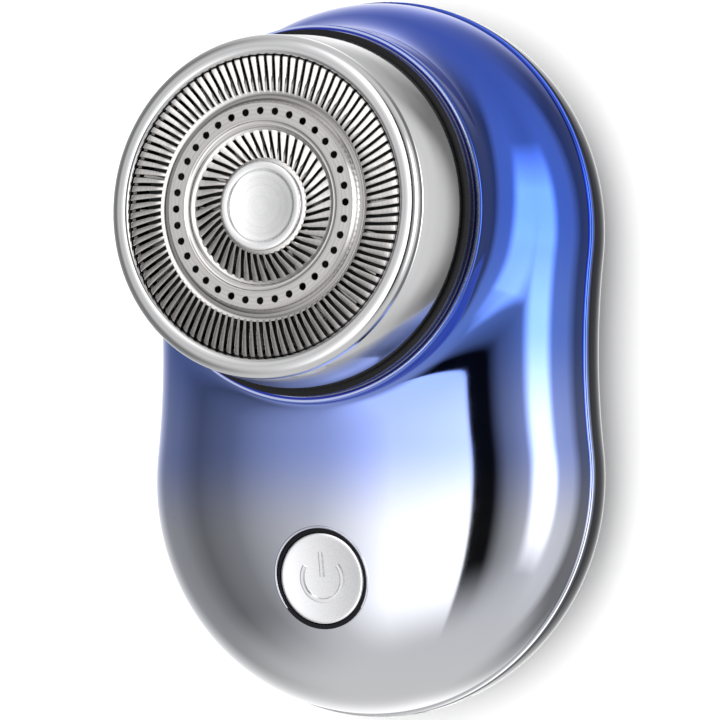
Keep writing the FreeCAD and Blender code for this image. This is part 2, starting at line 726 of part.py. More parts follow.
# ---------------------------------------------------------------------------------------
# What the motor turns: armature, shaft, drive and cutter
# ---------------------------------------------------------------------------------------
def make_rotor():
    low = "(%s - seat_floor/2 - 0.2)" % SEAT_FLOOR
    shaft_top = "(%s + 3.2)" % SEAT_FLOOR
    keep(rod("shaft_radius", "%s - %s - 0.3" % (shaft_top, ENDBELL_BASE), "0", HEAD_Y,
             "%s + 0.3" % ENDBELL_BASE), "motor_shaft")
    core = "(motor_radius - motor_wall - magnet_wall - air_gap)"
    stack = tube(core, "shaft_radius", "motor_length - 6.4", "0", HEAD_Y, "%s + 3.2" % MOTOR_BASE)
    slots = []
    for step in range(3):
        angle = 30 + 120 * step
        slot = box("1.1", "%s" % core, "motor_length", "0", "0", MOTOR_BASE)
        slot.Placement = Placement(Vector(), Rotation(Vector(0, 0, 1), angle - 90))
        spread = (math.cos(math.radians(angle)), math.sin(math.radians(angle)))
        side = (spread[1], -spread[0])
        slot.setExpression("Placement.Base.x", bound(
            "%s*0.45*(%.6f) - 0.55*(%.6f)" % (core, spread[0], side[0])))
        slot.setExpression("Placement.Base.y", bound(
            "%s + %s*0.45*(%.6f) - 0.55*(%.6f)" % (HEAD_Y, core, spread[1], side[1])))
        slots.append(slot)
    keep(cut(stack, fuse(*slots)), "armature_core")
    keep(tube("shaft_radius + 0.9", "shaft_radius", "1.8", "0", HEAD_Y, "%s + 1.2" % MOTOR_BASE),
         "commutator")

    collar = "(%s + 2.2)" % SEAT_FLOOR
    stem = fuse(rod("stem_radius", "%s - %s" % (HUB_BASE, low), "0", HEAD_Y, low),
                rod("collar_radius", "collar_thickness", "0", HEAD_Y, collar),
                box("drive_side", "drive_side", "drive_height + 0.2", "0", HEAD_Y,
                    "%s - 0.2" % HUB_BASE))
    bore = rod("shaft_radius + thread_clearance", "%s - %s + 0.1" % (shaft_top, low), "0",
               HEAD_Y, low)
    keep(cut(stem, bore), "drive_coupling")
    make_spring("(%s + collar_thickness)" % collar)

    disc = turned([("0", HUB_BASE), ("hub_radius", HUB_BASE), ("hub_radius", CARRIER_BASE),
                   (CUTTER_RADIUS, CARRIER_BASE), (CUTTER_RADIUS, CARRIER_TOP),
                   ("0", CARRIER_TOP)])
    socket = box("drive_side + 2*drive_clearance", "drive_side + 2*drive_clearance",
                 "drive_height + 0.9", "0", HEAD_Y, "%s - 0.5" % HUB_BASE)
    drops = [rod("drop_hole", "carrier_thickness + 1", x, y, "%s - 0.5" % CARRIER_BASE)
             for x, y in around(DROP_HOLES, "(track_inner_end + track_outer_start)/2")]
    keep(cut(disc, fuse(socket, *drops)), "cutter_carrier")
    blades = [blade(360 * step / OUTER_BLADES, "track_outer_start", CUTTER_RADIUS)
              for step in range(OUTER_BLADES)]
    blades += [blade(360 * step / INNER_BLADES, "track_inner_start", "track_inner_end")
               for step in range(INNER_BLADES)]
    keep(group(*blades), "cutter_blades")


def blade(angle, inner, outer):
    """One upright blade, set along a radius of the carrier."""
    across, along = math.cos(math.radians(angle)), math.sin(math.radians(angle))
    plate = bind(doc.addObject("Part::Box", "blade"), Length="(%s) - (%s)" % (outer, inner),
                 Width="blade_thickness", Height="blade_height")
    plate.Placement = Placement(Vector(), Rotation(Vector(0, 0, 1), angle))
    return place(plate, "(%s)*(%.6f) + blade_thickness/2*(%.6f)" % (inner, across, along),
                 "%s + (%s)*(%.6f) - blade_thickness/2*(%.6f)" % (HEAD_Y, inner, along, across),
                 CARRIER_TOP)


def make_spring(base):
    """A coil spring that holds the cutter up against the foil."""
    wire = size("spring_wire")
    height = size("spring_height") - 2 * wire
    radius = (size("stem_radius") + size("hub_radius")) / 2
    coil = Part.makeHelix(height / 4, height, radius)
    start = coil.Edges[0].valueAt(coil.Edges[0].FirstParameter)
    section = Part.Wire(Part.makeCircle(wire, start, Vector(0, 1, 0.15)))
    spring = computed(Part.Wire(coil.Edges).makePipeShell([section], True, True))
    keep(place(spring, "0", HEAD_Y, "%s + spring_wire" % base), "drive_spring")


# ---------------------------------------------------------------------------------------
# The head, which lifts off
# ---------------------------------------------------------------------------------------
def slit(angle, inner, outer, width, lean):
    """A cutter for one slit, whose inner end leans round by a few degrees."""
    turn = math.radians(angle)
    plate = bind(doc.addObject("Part::Box", "slit"), Length="(%s) - (%s)" % (outer, inner),
                 Width=width, Height="foil_thickness + 1")
    plate.Placement = Placement(Vector(), Rotation(Vector(0, 0, 1), angle + lean))
    return place(plate, "(%s)*(%.6f)" % (inner, math.cos(turn)),
                 "%s + (%s)*(%.6f)" % (HEAD_Y, inner, math.sin(turn)), "%s - 0.5" % FOIL_BACK)


def make_head():
    keep(turned([
        (CAP_BORE, CAP_BASE), (CAP_RADIUS, CAP_BASE), ("%s - cap_lean" % CAP_RADIUS, CAP_TOP),
        ("foil_radius + foil_gap", CAP_TOP), ("foil_radius + foil_gap", FOIL_FLANGE),
        (CAP_BORE, FOIL_FLANGE)], rounds={2: "cap_rim_round", 3: "cap_edge_round"}), "head_cap")

    thin = "foil_thickness"
    foil = turned([
        ("0", FOIL_BACK), ("0", FOIL_FACE), ("band_inner", FOIL_FACE),
        ("band_inner + band_ramp", "%s + band_rise" % FOIL_FACE),
        ("band_outer - band_ramp", "%s + band_rise" % FOIL_FACE), ("band_outer", FOIL_FACE),
        ("foil_radius", FOIL_FACE), ("foil_radius", FOIL_FLANGE), (CAP_BORE, FOIL_FLANGE),
        (CAP_BORE, "%s - %s" % (FOIL_FLANGE, thin)),
        ("foil_radius - %s" % thin, "%s - %s" % (FOIL_FLANGE, thin)),
        ("foil_radius - %s" % thin, FOIL_BACK), ("band_outer - band_skin", FOIL_BACK),
        ("band_outer - band_ramp - band_skin", "%s + band_rise" % FOIL_BACK),
        ("band_inner + band_ramp + band_skin", "%s + band_rise" % FOIL_BACK),
        ("band_inner + band_skin", FOIL_BACK)], rounds={6: "foil_thickness*0.8"})
    openings = [rod("dot_radius", "foil_thickness + band_rise + 1", x, y, "%s - 0.5" % FOIL_BACK)
                for x, y in around(DOTS, "dot_circle")]
    openings += [slit(360 * step / OUTER_SLITS, "slit_start", "foil_radius - rim_land",
                      "slit_width", OUTER_LEAN) for step in range(OUTER_SLITS)]
    openings += [slit(360 * step / INNER_SLITS, "track_inner_start", "track_inner_end",
                      "inner_slit_width", INNER_LEAN) for step in range(INNER_SLITS)]
    keep(cut(foil, group(*openings)), "cutter_foil")

    keep(turned([
        ("0", FOIL_FACE), ("disc_radius", FOIL_FACE), ("disc_radius", "%s + disc_height"
                                                       % FOIL_FACE),
        ("disc_dish + 0.3", "%s + disc_height" % FOIL_FACE),
        ("disc_dish", "%s + disc_height - dish_depth" % FOIL_FACE),
        ("0", "%s + disc_height - dish_depth" % FOIL_FACE)], rounds={2: "disc_height*0.5"}),
         "centre_disc")

    step = "(%s + retainer_thickness)" % RETAINER_BASE
    top = "(%s - foil_thickness)" % FOIL_FLANGE
    ring_body = turned([
        (RETAINER_BORE, RETAINER_BASE), (CAP_BORE, RETAINER_BASE), (CAP_BORE, top),
        ("foil_radius + 0.3", top), ("foil_radius + 0.3", step), (RETAINER_BORE, step)])
    pockets = [rod("magnet_radius", "magnet_height + 1", x, y, "%s - 1" % RETAINER_BASE)
               for x, y in magnet_places()]
    keep(cut(ring_body, fuse(*pockets)), "foil_retainer")
    keep(group(*[rod("magnet_radius - thread_clearance", "magnet_height", x, y, RETAINER_BASE)
                 for x, y in magnet_places()]), "head_magnets")


# ---------------------------------------------------------------------------------------
# Electrics
# ---------------------------------------------------------------------------------------
def make_board():
    radius = "lobe_radius - case_wall - tongue_gap - tongue_wall - board_margin"
    round_board = rod(radius, "board_thickness", "0", LOBE_Y, BOARD_BASE)
    half = box("2*lobe_radius", "2*lobe_radius", "board_thickness + 1", "0",
               "-board_end - lobe_radius", "%s - 0.5" % BOARD_BASE)
    notches = [rod("%s + 0.3" % REAR_POST, "board_thickness + 1", x, y, "%s - 0.5" % BOARD_BASE)
               for x, y in case_screw_places()[2:]]
    notches += [rod("small_screw_radius + 0.1", "board_thickness + 1", x, y,
                    "%s - 0.5" % BOARD_BASE) for x, y in board_screw_places()]
    keep(cut(common(round_board, half), fuse(*notches)), "circuit_board")
    keep(group(*[screw("small_screw_radius", "small_screw_head", "small_head_height",
                       "small_screw_length + board_thickness - 0.4", x, y, BOARD_BASE)
                 for x, y in board_screw_places()]), "board_screws")
    chips = [("5", "4.4", "1.0", "-9", "-9"), ("3", "3", "0.9", "8.5", "-11"),
             ("3.2", "1.6", "0.8", "9", "-17"), ("2", "1.3", "0.7", "-9", "-16")]
    keep(group(*[box(length, width, height, x, y, BOARD_TOP)
                 for length, width, height, x, y in chips]), "board_chips")
    keep(cut(box("switch_side", "switch_side", "switch_height", "0", SWITCH_Y, BOARD_TOP),
             rod("plunger_radius + running_clearance", "switch_bore + 1", "0", SWITCH_Y,
                 "%s + switch_height - switch_bore" % BOARD_TOP)), "tact_switch")


def make_port():
    shell = port_block("0", "port_length", PORT_Y)
    inside = port_block("-port_wall", "port_length", "%s - 0.8" % PORT_Y)
    keep(cut(shell, inside), "usb_port")
    keep(box("port_width - 2.2", "port_length - 1.6", "0.7", "0",
             "%s + port_length/2" % PORT_Y, "%s - 0.35" % PORT_Z), "port_tongue")
    wall_band = common(port_block("seal_wall", "case_wall*6", "%s - case_wall*2" % PORT_Y),
                       computed(outer_back.cut(inner_back)))
    keep(cut(wall_band, port_block("0", "case_wall*8", "%s - case_wall*3" % PORT_Y)),
         "port_seal")
    window_length = "(case_wall*2.4)"
    window = lying_rod("led_radius - thread_clearance", window_length, LED_X,
                       "%s + case_wall*0.6" % PORT_Y, LED_Z)
    keep(common(window, computed(outer_back)), "led_window")
    keep(box("1.6", "0.9", "0.8", LED_X, "%s + case_wall*3 + 0.8" % PORT_Y,
             "%s - 0.8" % BOARD_BASE), "charge_led")


def make_battery():
    pouch = box("cell_width", "cell_length", "cell_thickness", "0", CELL_Y, CELL_BASE)
    doc.recompute()
    rounded = doc.addObject("Part::Fillet", "rounded")
    rounded.Base = pouch
    soft = min(size("cell_thickness") * 0.3, 1.5)
    rounded.Edges = [(index, soft, soft) for index, edge in enumerate(pouch.Shape.Edges, start=1)
                     if abs(edge.tangentAt(edge.FirstParameter).y) > 0.9]
    keep(rounded, "battery_cell")
    keep(box("cell_width*0.8", "cell_length*0.75", "pad_thickness", "0", CELL_Y, "case_wall"),
         "battery_pad")
    keep(group(*[box("tab_width", "1.2", "0.3", "%d*5" % side, "%s + 0.6" % CELL_END,
                     "%s - 1.2" % CELL_TOP) for side in (1, -1)]), "battery_tabs")


def lead(label, points):
    """An insulated wire: straight runs joined by arcs as large as the runs allow."""
    points = [Vector(*point) for point in points]
    edges = []
    last = points[0]
    for before, corner, after in zip(points, points[1:], points[2:]):
        back, on = before - corner, after - corner
        turn = math.pi - back.getAngle(on)
        reach = 0.45 * min(back.Length, on.Length)
        radius = reach / math.tan(turn / 2)
        back.normalize()
        on.normalize()
        first, end = corner + back * reach, corner + on * reach
        inward = back + on
        inward.normalize()
        middle = corner + inward * (math.hypot(radius, reach) - radius)
        edges += [Part.LineSegment(last, first).toShape(), Part.Arc(first, middle, end).toShape()]
        last = end
    edges.append(Part.LineSegment(last, points[-1]).toShape())
    along = points[1] - points[0]
    section = Part.Wire(Part.makeCircle(size("wire_radius"), points[0], along))
    return keep(computed(Part.Wire(edges).makePipeShell([section], True, False)), label)


def make_leads():
    """Battery and motor leads, up the channel between the cell and the motor to the board."""
    board_top = size("back_depth") - size("board_drop") + size("board_thickness")
    board_edge = -size("board_end")
    cell_end = -size("lobe_spacing") / 2 + size("cell_inset") + size("cell_length") / 2
    tab = size("case_wall") + size("pad_thickness") + size("cell_thickness") - 0.9
    head_y = size("lobe_spacing") / 2 + size("head_offset")
    terminal_y = head_y - size("motor_radius") * 0.72
    terminal_z = (size("back_depth") + size("neck_height") - size("well_depth")
                  - size("motor_gap") - size("motor_length") - size("endbell_thickness") - 1.7)
    thick = size("wire_radius")
    for side, colour in ((1, "red"), (-1, "black")):
        x = side * 5
        lead("battery_lead_" + colour, [
            (x, cell_end + 0.7, tab + thick), (x, cell_end + 0.7, board_top + 1.8),
            (x, board_edge - 2.2, board_top + 1.8), (x, board_edge - 2.2, board_top)])
    channel = head_y - size("motor_radius") - 1.1
    for side, colour in ((1, "red"), (-1, "black")):
        x = side * 2.6
        lead("motor_lead_" + colour, [
            (x, terminal_y - 0.2, terminal_z), (x, channel, terminal_z),
            (x, channel, board_top + 3.2), (x, board_edge - 3.4, board_top + 3.2),
            (x, board_edge - 3.4, board_top)])


# ---------------------------------------------------------------------------------------
# The power button
# ---------------------------------------------------------------------------------------
def make_button():
    flange_top = "button_height"
    flange_low = "(button_height + button_flange)"
    keep(fuse(on_button_axis("button_radius", flange_top, "0"),
              on_button_axis("button_radius + flange_overlap", flange_low, flange_top),
              on_button_axis("button_stem", STEM_LENGTH, flange_low)), "power_button")
    keep(cut(on_button_axis("button_radius + running_clearance + button_seal", "1.0", "0.05"),
             on_button_axis("button_radius + running_clearance", "1.5", "-0.5")), "button_seal")
    keep(rod("plunger_radius", "plunger_height + plunger_seat", "0", SWITCH_Y,
             "%s + switch_height - plunger_seat" % BOARD_TOP), "switch_plunger")


make_case()
make_seat()
make_motor()
make_rotor()
make_head()
make_board()
make_port()
make_battery()
make_leads()
make_button()
doc.recompute()


# ---------------------------------------------------------------------------------------
# Check and write
# ---------------------------------------------------------------------------------------
for item in doc.Objects:
    if {"Invalid", "Error"} & set(item.State):
        raise RuntimeError("%s (%s) did not build: %s" % (item.Name, item.Label, item.State))
labels = [part.Label for part in parts]
if len(set(labels)) != len(labels):
    raise RuntimeError("two sub-parts share a name: %s" % sorted(labels))
os.makedirs("parts", exist_ok=True)
for part in parts:
    if part.Shape.isNull() or not part.Shape.isValid():
        raise RuntimeError("%s has no valid shape" % part.Label)
    part.Shape.exportStep("parts/%s.step" % part.Label)
print("%d sub-parts written" % len(parts))
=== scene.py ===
import json
import math

import bpy
from mathutils import Matrix, Vector
from mathutils.interpolate import poly_3d_calc


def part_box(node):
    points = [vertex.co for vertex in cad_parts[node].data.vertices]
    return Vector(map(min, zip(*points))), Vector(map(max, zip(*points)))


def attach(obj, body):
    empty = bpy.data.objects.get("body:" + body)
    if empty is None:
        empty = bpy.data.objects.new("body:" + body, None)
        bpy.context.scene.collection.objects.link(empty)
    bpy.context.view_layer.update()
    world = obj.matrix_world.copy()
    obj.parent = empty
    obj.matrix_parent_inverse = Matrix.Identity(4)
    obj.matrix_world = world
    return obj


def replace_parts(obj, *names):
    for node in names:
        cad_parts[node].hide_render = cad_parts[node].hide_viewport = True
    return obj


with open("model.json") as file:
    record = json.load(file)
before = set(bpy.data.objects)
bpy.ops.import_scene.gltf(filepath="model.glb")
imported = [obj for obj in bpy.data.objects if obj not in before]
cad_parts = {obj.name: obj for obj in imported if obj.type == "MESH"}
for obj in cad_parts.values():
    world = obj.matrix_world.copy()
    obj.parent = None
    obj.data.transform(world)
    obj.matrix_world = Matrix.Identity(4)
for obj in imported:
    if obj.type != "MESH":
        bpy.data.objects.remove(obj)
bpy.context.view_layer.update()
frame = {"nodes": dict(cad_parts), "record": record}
nodes = frame["nodes"]
MM = 0.001

# ---------------------------------------------------------------------------------------
# Rear shell.  A shallow moulded dish with a flat back, plated dark blue that thins to grey
# at the button end.  Four screws go up through it, and the charging port and its lamp are
# let into the button end.
# ---------------------------------------------------------------------------------------
rear_low, rear_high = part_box("rear_shell")
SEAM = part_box("front_shell")[0].z
LOBE = rear_high.x
HALF_SPACING = rear_high.y - LOBE
WAIST = LOBE - 0.7 * MM
SHELL_WALL = 1.4 * MM
REAR_POWER = 2.8
REAR_FLAT = 0.55
SCREW_HEAD, SCREW_WELL = 1.5 * MM, 1.7 * MM


def half_width(y, lobe=LOBE, waist=WAIST):
    """Half the outline's width at y: straight out from a lobe's centre past the waist's end."""
    y = min(abs(y), HALF_SPACING)
    sweep = (HALF_SPACING ** 2 - lobe ** 2 + waist ** 2) / (2 * (lobe - waist))
    waist_end = HALF_SPACING * (1 - lobe / (sweep + lobe))
    if y <= waist_end:
        return waist + sweep - math.sqrt(sweep ** 2 - y ** 2)
    return math.sqrt(lobe ** 2 - (HALF_SPACING - y) ** 2)


def outline(steps, inset=0.0):
    """The two-lobed outline as points, anticlockwise from the +X side."""
    lobe, waist = LOBE - inset, WAIST - inset
    places = []
    quarter = steps // 4
    for step in range(quarter):
        y = HALF_SPACING * step / (quarter * 0.35)
        if y < HALF_SPACING:
            places.append((half_width(y, lobe, waist), y))
    for step in range(quarter):
        angle = math.pi / 2 * step / quarter
        places.append((lobe * math.cos(angle), HALF_SPACING + lobe * math.sin(angle)))
    places.append((0.0, HALF_SPACING + lobe))
    upper = places + [(-x, y) for x, y in reversed(places[1:-1])]
    left_waist = (-half_width(0, lobe, waist), 0.0)
    return upper + [left_waist] + [(-x, -y) for x, y in upper[1:]]


def new_object(name, mesh):
    made = bpy.data.objects.new(name, mesh)
    bpy.context.scene.collection.objects.link(made)
    return made


def mesh_object(name, points, faces, smooth_angle=35):
    """A mesh piece from its points and faces, smooth up to an angle between faces."""
    mesh = bpy.data.meshes.new(name)
    mesh.from_pydata(points, [], faces)
    mesh.update()
    mesh.shade_smooth()
    mesh.set_sharp_from_angle(angle=math.radians(smooth_angle))
    return new_object(name, mesh)


def ladder(first, second, count):
    """The faces between two closed loops of points, from each loop's first index."""
    return [[first + k, first + (k + 1) % count, second + (k + 1) % count, second + k]
            for k in range(count)]


def lofted(name, rows, smooth_angle=35, endless=False):
    """A closed skin over loops of points that run clockwise, looking from each to the next.
    An endless one runs on from its last loop to its first, and any other has capped ends."""
    count, total = len(rows[0]), len(rows)
    faces = []
    for k in range(total - 1 + endless):
        faces += ladder(k * count, (k + 1) % total * count, count)
    if not endless:
        faces += [list(range(count - 1, -1, -1)), list(range((total - 1) * count, total * count))]
    return mesh_object(name, [point for row in rows for point in row], faces, smooth_angle)


def wire(tree, kind, inputs=None, **settings):
    """Adds a node to a tree and feeds its inputs with values or with other nodes' outputs."""
    made = tree.nodes.new(kind)
    for key, value in settings.items():
        setattr(made, key, value)
    for key, value in (inputs or {}).items():
        if isinstance(value, bpy.types.NodeSocket):
            tree.links.new(value, made.inputs[key])
        else:
            made.inputs[key].default_value = value
    return made


def maths(tree, operation, first, second=0.0):
    return wire(tree, "ShaderNodeMath", {0: first, 1: second}, operation=operation).outputs[0]


def sockets(tree, inputs, outputs):
    """Gives a node group its named inputs and outputs and returns its input node."""
    for name, kind, value in inputs:
        socket = tree.interface.new_socket(name, in_out="INPUT", socket_type="NodeSocket" + kind)
        if value is not None:
            socket.default_value = value
    for name, kind in outputs:
        tree.interface.new_socket(name, in_out="OUTPUT", socket_type="NodeSocket" + kind)
    return tree.nodes.new("NodeGroupInput").outputs


def dish_tree():
    """Geometry Nodes: rows of the outline, drawn in towards each lobe's centre and down."""
    tree = bpy.data.node_groups.new("domed_dish", "GeometryNodeTree")
    given = sockets(tree, [("Outline", "Geometry", None), ("Around", "Int", 4), ("Rows", "Int", 4),
                           ("Half spacing", "Float", 0.01), ("Depth", "Float", 0.01),
                           ("Power", "Float", 2.0), ("Flat share", "Float", 0.5),
                           ("Material", "Material", None)], [("Dish", "Geometry")])
    rows = given["Rows"]
    grid = wire(tree, "GeometryNodeMeshGrid",
                {"Size X": 1.0, "Size Y": 1.0, "Vertices Y": rows,
                 "Vertices X": maths(tree, "ADD", given["Around"], 1.0)}).outputs["Mesh"]
    index = wire(tree, "GeometryNodeInputIndex").outputs[0]
    column = maths(tree, "FLOOR", maths(tree, "DIVIDE", index, rows))
    row = maths(tree, "SUBTRACT", index, maths(tree, "MULTIPLY", column, rows))
    column = maths(tree, "MODULO", maths(tree, "ADD", column, 0.25), given["Around"])
    place = wire(tree, "GeometryNodeSampleIndex", data_type="FLOAT_VECTOR")
    tree.links.new(given["Outline"], place.inputs["Geometry"])
    tree.links.new(wire(tree, "GeometryNodeInputPosition").outputs[0], place.inputs["Value"])
    tree.links.new(maths(tree, "FLOOR", column), place.inputs["Index"])
    edge = wire(tree, "ShaderNodeSeparateXYZ", {0: place.outputs["Value"]}).outputs
    # the curved rows end at the flat share, and the last fifth of the rows cross the flat back
    part = maths(tree, "DIVIDE", row, maths(tree, "SUBTRACT", rows, 1.0))
    curved = maths(tree, "MINIMUM", maths(tree, "DIVIDE", part, 0.8), 1.0)
    flat = maths(tree, "MAXIMUM", maths(tree, "DIVIDE", maths(tree, "SUBTRACT", part, 0.8), 0.2), 0)
    half_power = maths(tree, "DIVIDE", given["Power"], 2.0)
    last = maths(tree, "ARCCOSINE", maths(tree, "POWER", given["Flat share"], half_power))
    turn = maths(tree, "MULTIPLY", curved, last)
    root = maths(tree, "DIVIDE", 2.0, given["Power"])
    share = maths(tree, "POWER", maths(tree, "COSINE", turn), root)
    level = maths(tree, "DIVIDE", maths(tree, "POWER", maths(tree, "SINE", turn), root),
                  maths(tree, "POWER", maths(tree, "SINE", last), root))
    share = maths(tree, "MULTIPLY", share, maths(tree, "SUBTRACT", 1.0, flat))
    middle = maths(tree, "MAXIMUM", maths(tree, "MINIMUM", edge["Y"], given["Half spacing"]),
                   maths(tree, "MULTIPLY", given["Half spacing"], -1.0))
    away = maths(tree, "MULTIPLY", maths(tree, "SUBTRACT", edge["Y"], middle), share)
    spot = wire(tree, "ShaderNodeCombineXYZ", {
        "X": maths(tree, "MULTIPLY", edge["X"], share), "Y": maths(tree, "ADD", middle, away),
        "Z": maths(tree, "SUBTRACT", edge["Z"], maths(tree, "MULTIPLY", level, given["Depth"]))})
    bent = wire(tree, "GeometryNodeSetPosition", {"Geometry": grid, "Position": spot.outputs[0]})
    joined = wire(tree, "GeometryNodeMergeByDistance",
                  {"Geometry": bent.outputs[0], "Distance": 0.000004})
    smooth = wire(tree, "GeometryNodeSetShadeSmooth", {"Geometry": joined.outputs[0]})
    real = wire(tree, "GeometryNodeRealizeInstances", {"Geometry": smooth.outputs[0]})
    coat = wire(tree, "GeometryNodeSetMaterial", {"Geometry": real.outputs[0],
                                                  "Material": given["Material"]})
    wire(tree, "NodeGroupOutput", {"Dish": coat.outputs[0]})
    return tree


def made_by(name, base, tree, **values):
    """Runs a Geometry Nodes tree on an object and keeps its result as a plain mesh."""
    modifier = base.modifiers.new("maker", "NODES")
    modifier.node_group = tree
    for item in tree.interface.items_tree:
        key = item.name.replace(" ", "_")
        if item.in_out == "INPUT" and key in values:
            modifier[item.identifier] = values[key]
    return settled(name, base)


def settled(name, base):
    """Replaces an object by the plain mesh that its modifiers make."""
    evaluated = base.evaluated_get(bpy.context.evaluated_depsgraph_get())
    mesh = bpy.data.meshes.new_from_object(evaluated)
    mesh.name = name
    bpy.data.objects.remove(base)
    return new_object(name, mesh)


def carve(piece, cutters):
    """Cuts each of the cutters out of a piece, and removes the cutters."""
    name = piece.name
    for cutter in cutters:
        modifier = piece.modifiers.new("carve", "BOOLEAN")
        modifier.operation = "DIFFERENCE"
        modifier.object = cutter
        modifier.solver = "EXACT"
    carved = settled(name + "_carved", piece)
    carved.name = name
    for cutter in cutters:
        bpy.data.objects.remove(cutter)
    return carved


def dome_normals(piece, uncut, middle, reach):
    """Gives a carved piece the uncut surface's smooth normals near the middle of a hole."""
    mesh, whole = piece.data, uncut.data
    normals = [corner.vector.copy() for corner in mesh.corner_normals]
    for polygon in mesh.polygons:
        if (polygon.center - middle).length > reach:
            continue
        for loop in polygon.loop_indices:
            spot = mesh.vertices[mesh.loops[loop].vertex_index].co
            found, near, _, index = uncut.closest_point_on_mesh(spot)
            corners = [whole.vertices[k] for k in whole.polygons[index].vertices]
            shares = poly_3d_calc([corner.co for corner in corners], near)
            smooth = sum((corner.normal * share for corner, share in zip(corners, shares)),
                         Vector())
            if found and polygon.normal.dot(smooth) > 0.9 * smooth.length:
                normals[loop] = smooth.normalized()
    mesh.normals_split_custom_set(normals)


def joined(name, pieces):
    """Joins pieces into one mesh, keeping their materials and smoothing."""
    first = pieces[0]
    with bpy.context.temp_override(active_object=first, selected_editable_objects=pieces):
        bpy.ops.object.join()
    first.name = name
    first.data.name = name
    return first


def turned(name, profile, centre, steps=192, tilt=0.0, smooth_angle=35):
    """A piece turned about an upright or leaning axis from a closed (radius, height) profile.
    The profile runs anticlockwise, with the axis on its left."""
    points, faces, rings = [], [], []
    lean = Matrix.Rotation(tilt, 3, "X")
    for radius, height in profile:
        count = 1 if radius < 1e-9 else steps
        rings.append((len(points), count))
        for step in range(count):
            angle = 2 * math.pi * step / steps
            spot = Vector((radius * math.cos(angle), radius * math.sin(angle), height))
            points.append(Vector(centre) + lean @ spot)
    closed = 1 if min(radius for radius, height in profile) > 1e-9 else 0
    for k in range(len(rings) - 1 + closed):
        (low, low_count), (high, high_count) = rings[k], rings[(k + 1) % len(rings)]
        for step in range(steps):
            after = (step + 1) % steps
            corners = [low + step % low_count, low + after % low_count,
                       high + after % high_count, high + step % high_count]
            corners = list(dict.fromkeys(corners))
            if len(corners) > 2:
                faces.append(corners)
    return mesh_object(name, points, faces, smooth_angle)


def object_place(tree):
    return wire(tree, "ShaderNodeTexCoord").outputs["Object"]


def ranged(tree, value, low, high, to_low=0.0, to_high=1.0, ease="LINEAR"):
    """A value taken from one range to another and held at its ends."""
    return wire(tree, "ShaderNodeMapRange", {
        "Value": value, "From Min": low, "From Max": high, "To Min": to_low, "To Max": to_high},
        interpolation_type=ease).outputs[0]


def colour_ramp(tree, share, stops):
    """Colours at given shares of the way, with even changes between them."""
    made = wire(tree, "ShaderNodeValToRGB", {"Fac": share})
    elements = made.color_ramp.elements
    while len(elements) < len(stops):
        elements.new(0.5)
    for element, (position, colour) in zip(elements, stops):
        element.position = position
        element.color = (*colour, 1.0)
    return made


def wear_group():
    """Fine uneven polish: a roughness between two values, and a slight unevenness in height."""
    tree = bpy.data.node_groups.new("uneven_polish", "ShaderNodeTree")
    given = sockets(tree, [("Grain size", "Float", 0.002), ("Smooth", "Float", 0.05),
                           ("Worn", "Float", 0.1)], [("Roughness", "Float"), ("Height", "Float")])
    place = object_place(tree)
    coarse = wire(tree, "ShaderNodeTexNoise", {
        "Vector": place, "Scale": maths(tree, "DIVIDE", 1.0, given["Grain size"]),
        "Detail": 4.0}).outputs["Fac"]
    fine = wire(tree, "ShaderNodeTexNoise", {
        "Vector": place, "Scale": maths(tree, "DIVIDE", 9.0, given["Grain size"]),
        "Detail": 2.0}).outputs["Fac"]
    amount = ranged(tree, maths(tree, "MULTIPLY", coarse, fine), 0.15, 0.4,
                    given["Smooth"], given["Worn"])
    wire(tree, "NodeGroupOutput", {"Roughness": amount, "Height": fine})
    return tree


uneven_polish = wear_group()


def new_material(name):
    """A material with its Principled shader and an empty node tree around it."""
    material = bpy.data.materials.new(name)
    material.use_nodes = True
    tree = material.node_tree
    tree.nodes.clear()
    shader = tree.nodes.new("ShaderNodeBsdfPrincipled")
    wire(tree, "ShaderNodeOutputMaterial", {"Surface": shader.outputs[0]})
    return material, tree, shader


def feed(tree, shader, **values):
    """Sets the shader's sockets, by name with _ for a space, or links them."""
    for key, value in values.items():
        socket = shader.inputs[key.replace("_", " ")]
        if isinstance(value, bpy.types.NodeSocket):
            tree.links.new(value, socket)
        else:
            socket.default_value = value


def group_node(tree, group, **values):
    made = tree.nodes.new("ShaderNodeGroup")
    made.node_tree = group
    feed(tree, made, **values)
    return made


def bump(tree, height, depth):
    return wire(tree, "ShaderNodeBump", {"Height": height, "Distance": depth,
                                         "Strength": 1.0}).outputs[0]


def plating(name, stops, smooth, worn, coat):
    """Electroplated colour that changes along the case, from the button end to the head end."""
    material, tree, shader = new_material(name)
    along = wire(tree, "ShaderNodeSeparateXYZ", {0: object_place(tree)}).outputs["Y"]
    ramp = colour_ramp(tree, ranged(tree, along, rear_low.y, rear_high.y), stops)
    ramp.color_ramp.interpolation = "EASE"
    polish = group_node(tree, uneven_polish, Grain_size=1.5 * MM, Smooth=smooth, Worn=worn)
    feed(tree, shader, Base_Color=ramp.outputs["Color"], Metallic=1.0,
         Roughness=polish.outputs["Roughness"],
         Normal=bump(tree, polish.outputs["Height"], 0.00002 * MM))
    feed(tree, shader, Coat_Weight=coat, Coat_Roughness=0.02, Coat_IOR=1.5)
    return material


rear_finish = plating("rear_plating", [(0.0, (0.16, 0.16, 0.17)), (0.3, (0.05, 0.055, 0.075)),
                                       (0.6, (0.012, 0.016, 0.045)), (1.0, (0.012, 0.014, 0.04))],
                      0.08, 0.13, 0.5)


def screw_places():
    """The four case screws' places, from the screws themselves."""
    _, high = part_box("case_screws")
    across, along = high.x - SCREW_HEAD, high.y - SCREW_HEAD
    return [(x * across, y * along) for x in (1, -1) for y in (1, -1)]


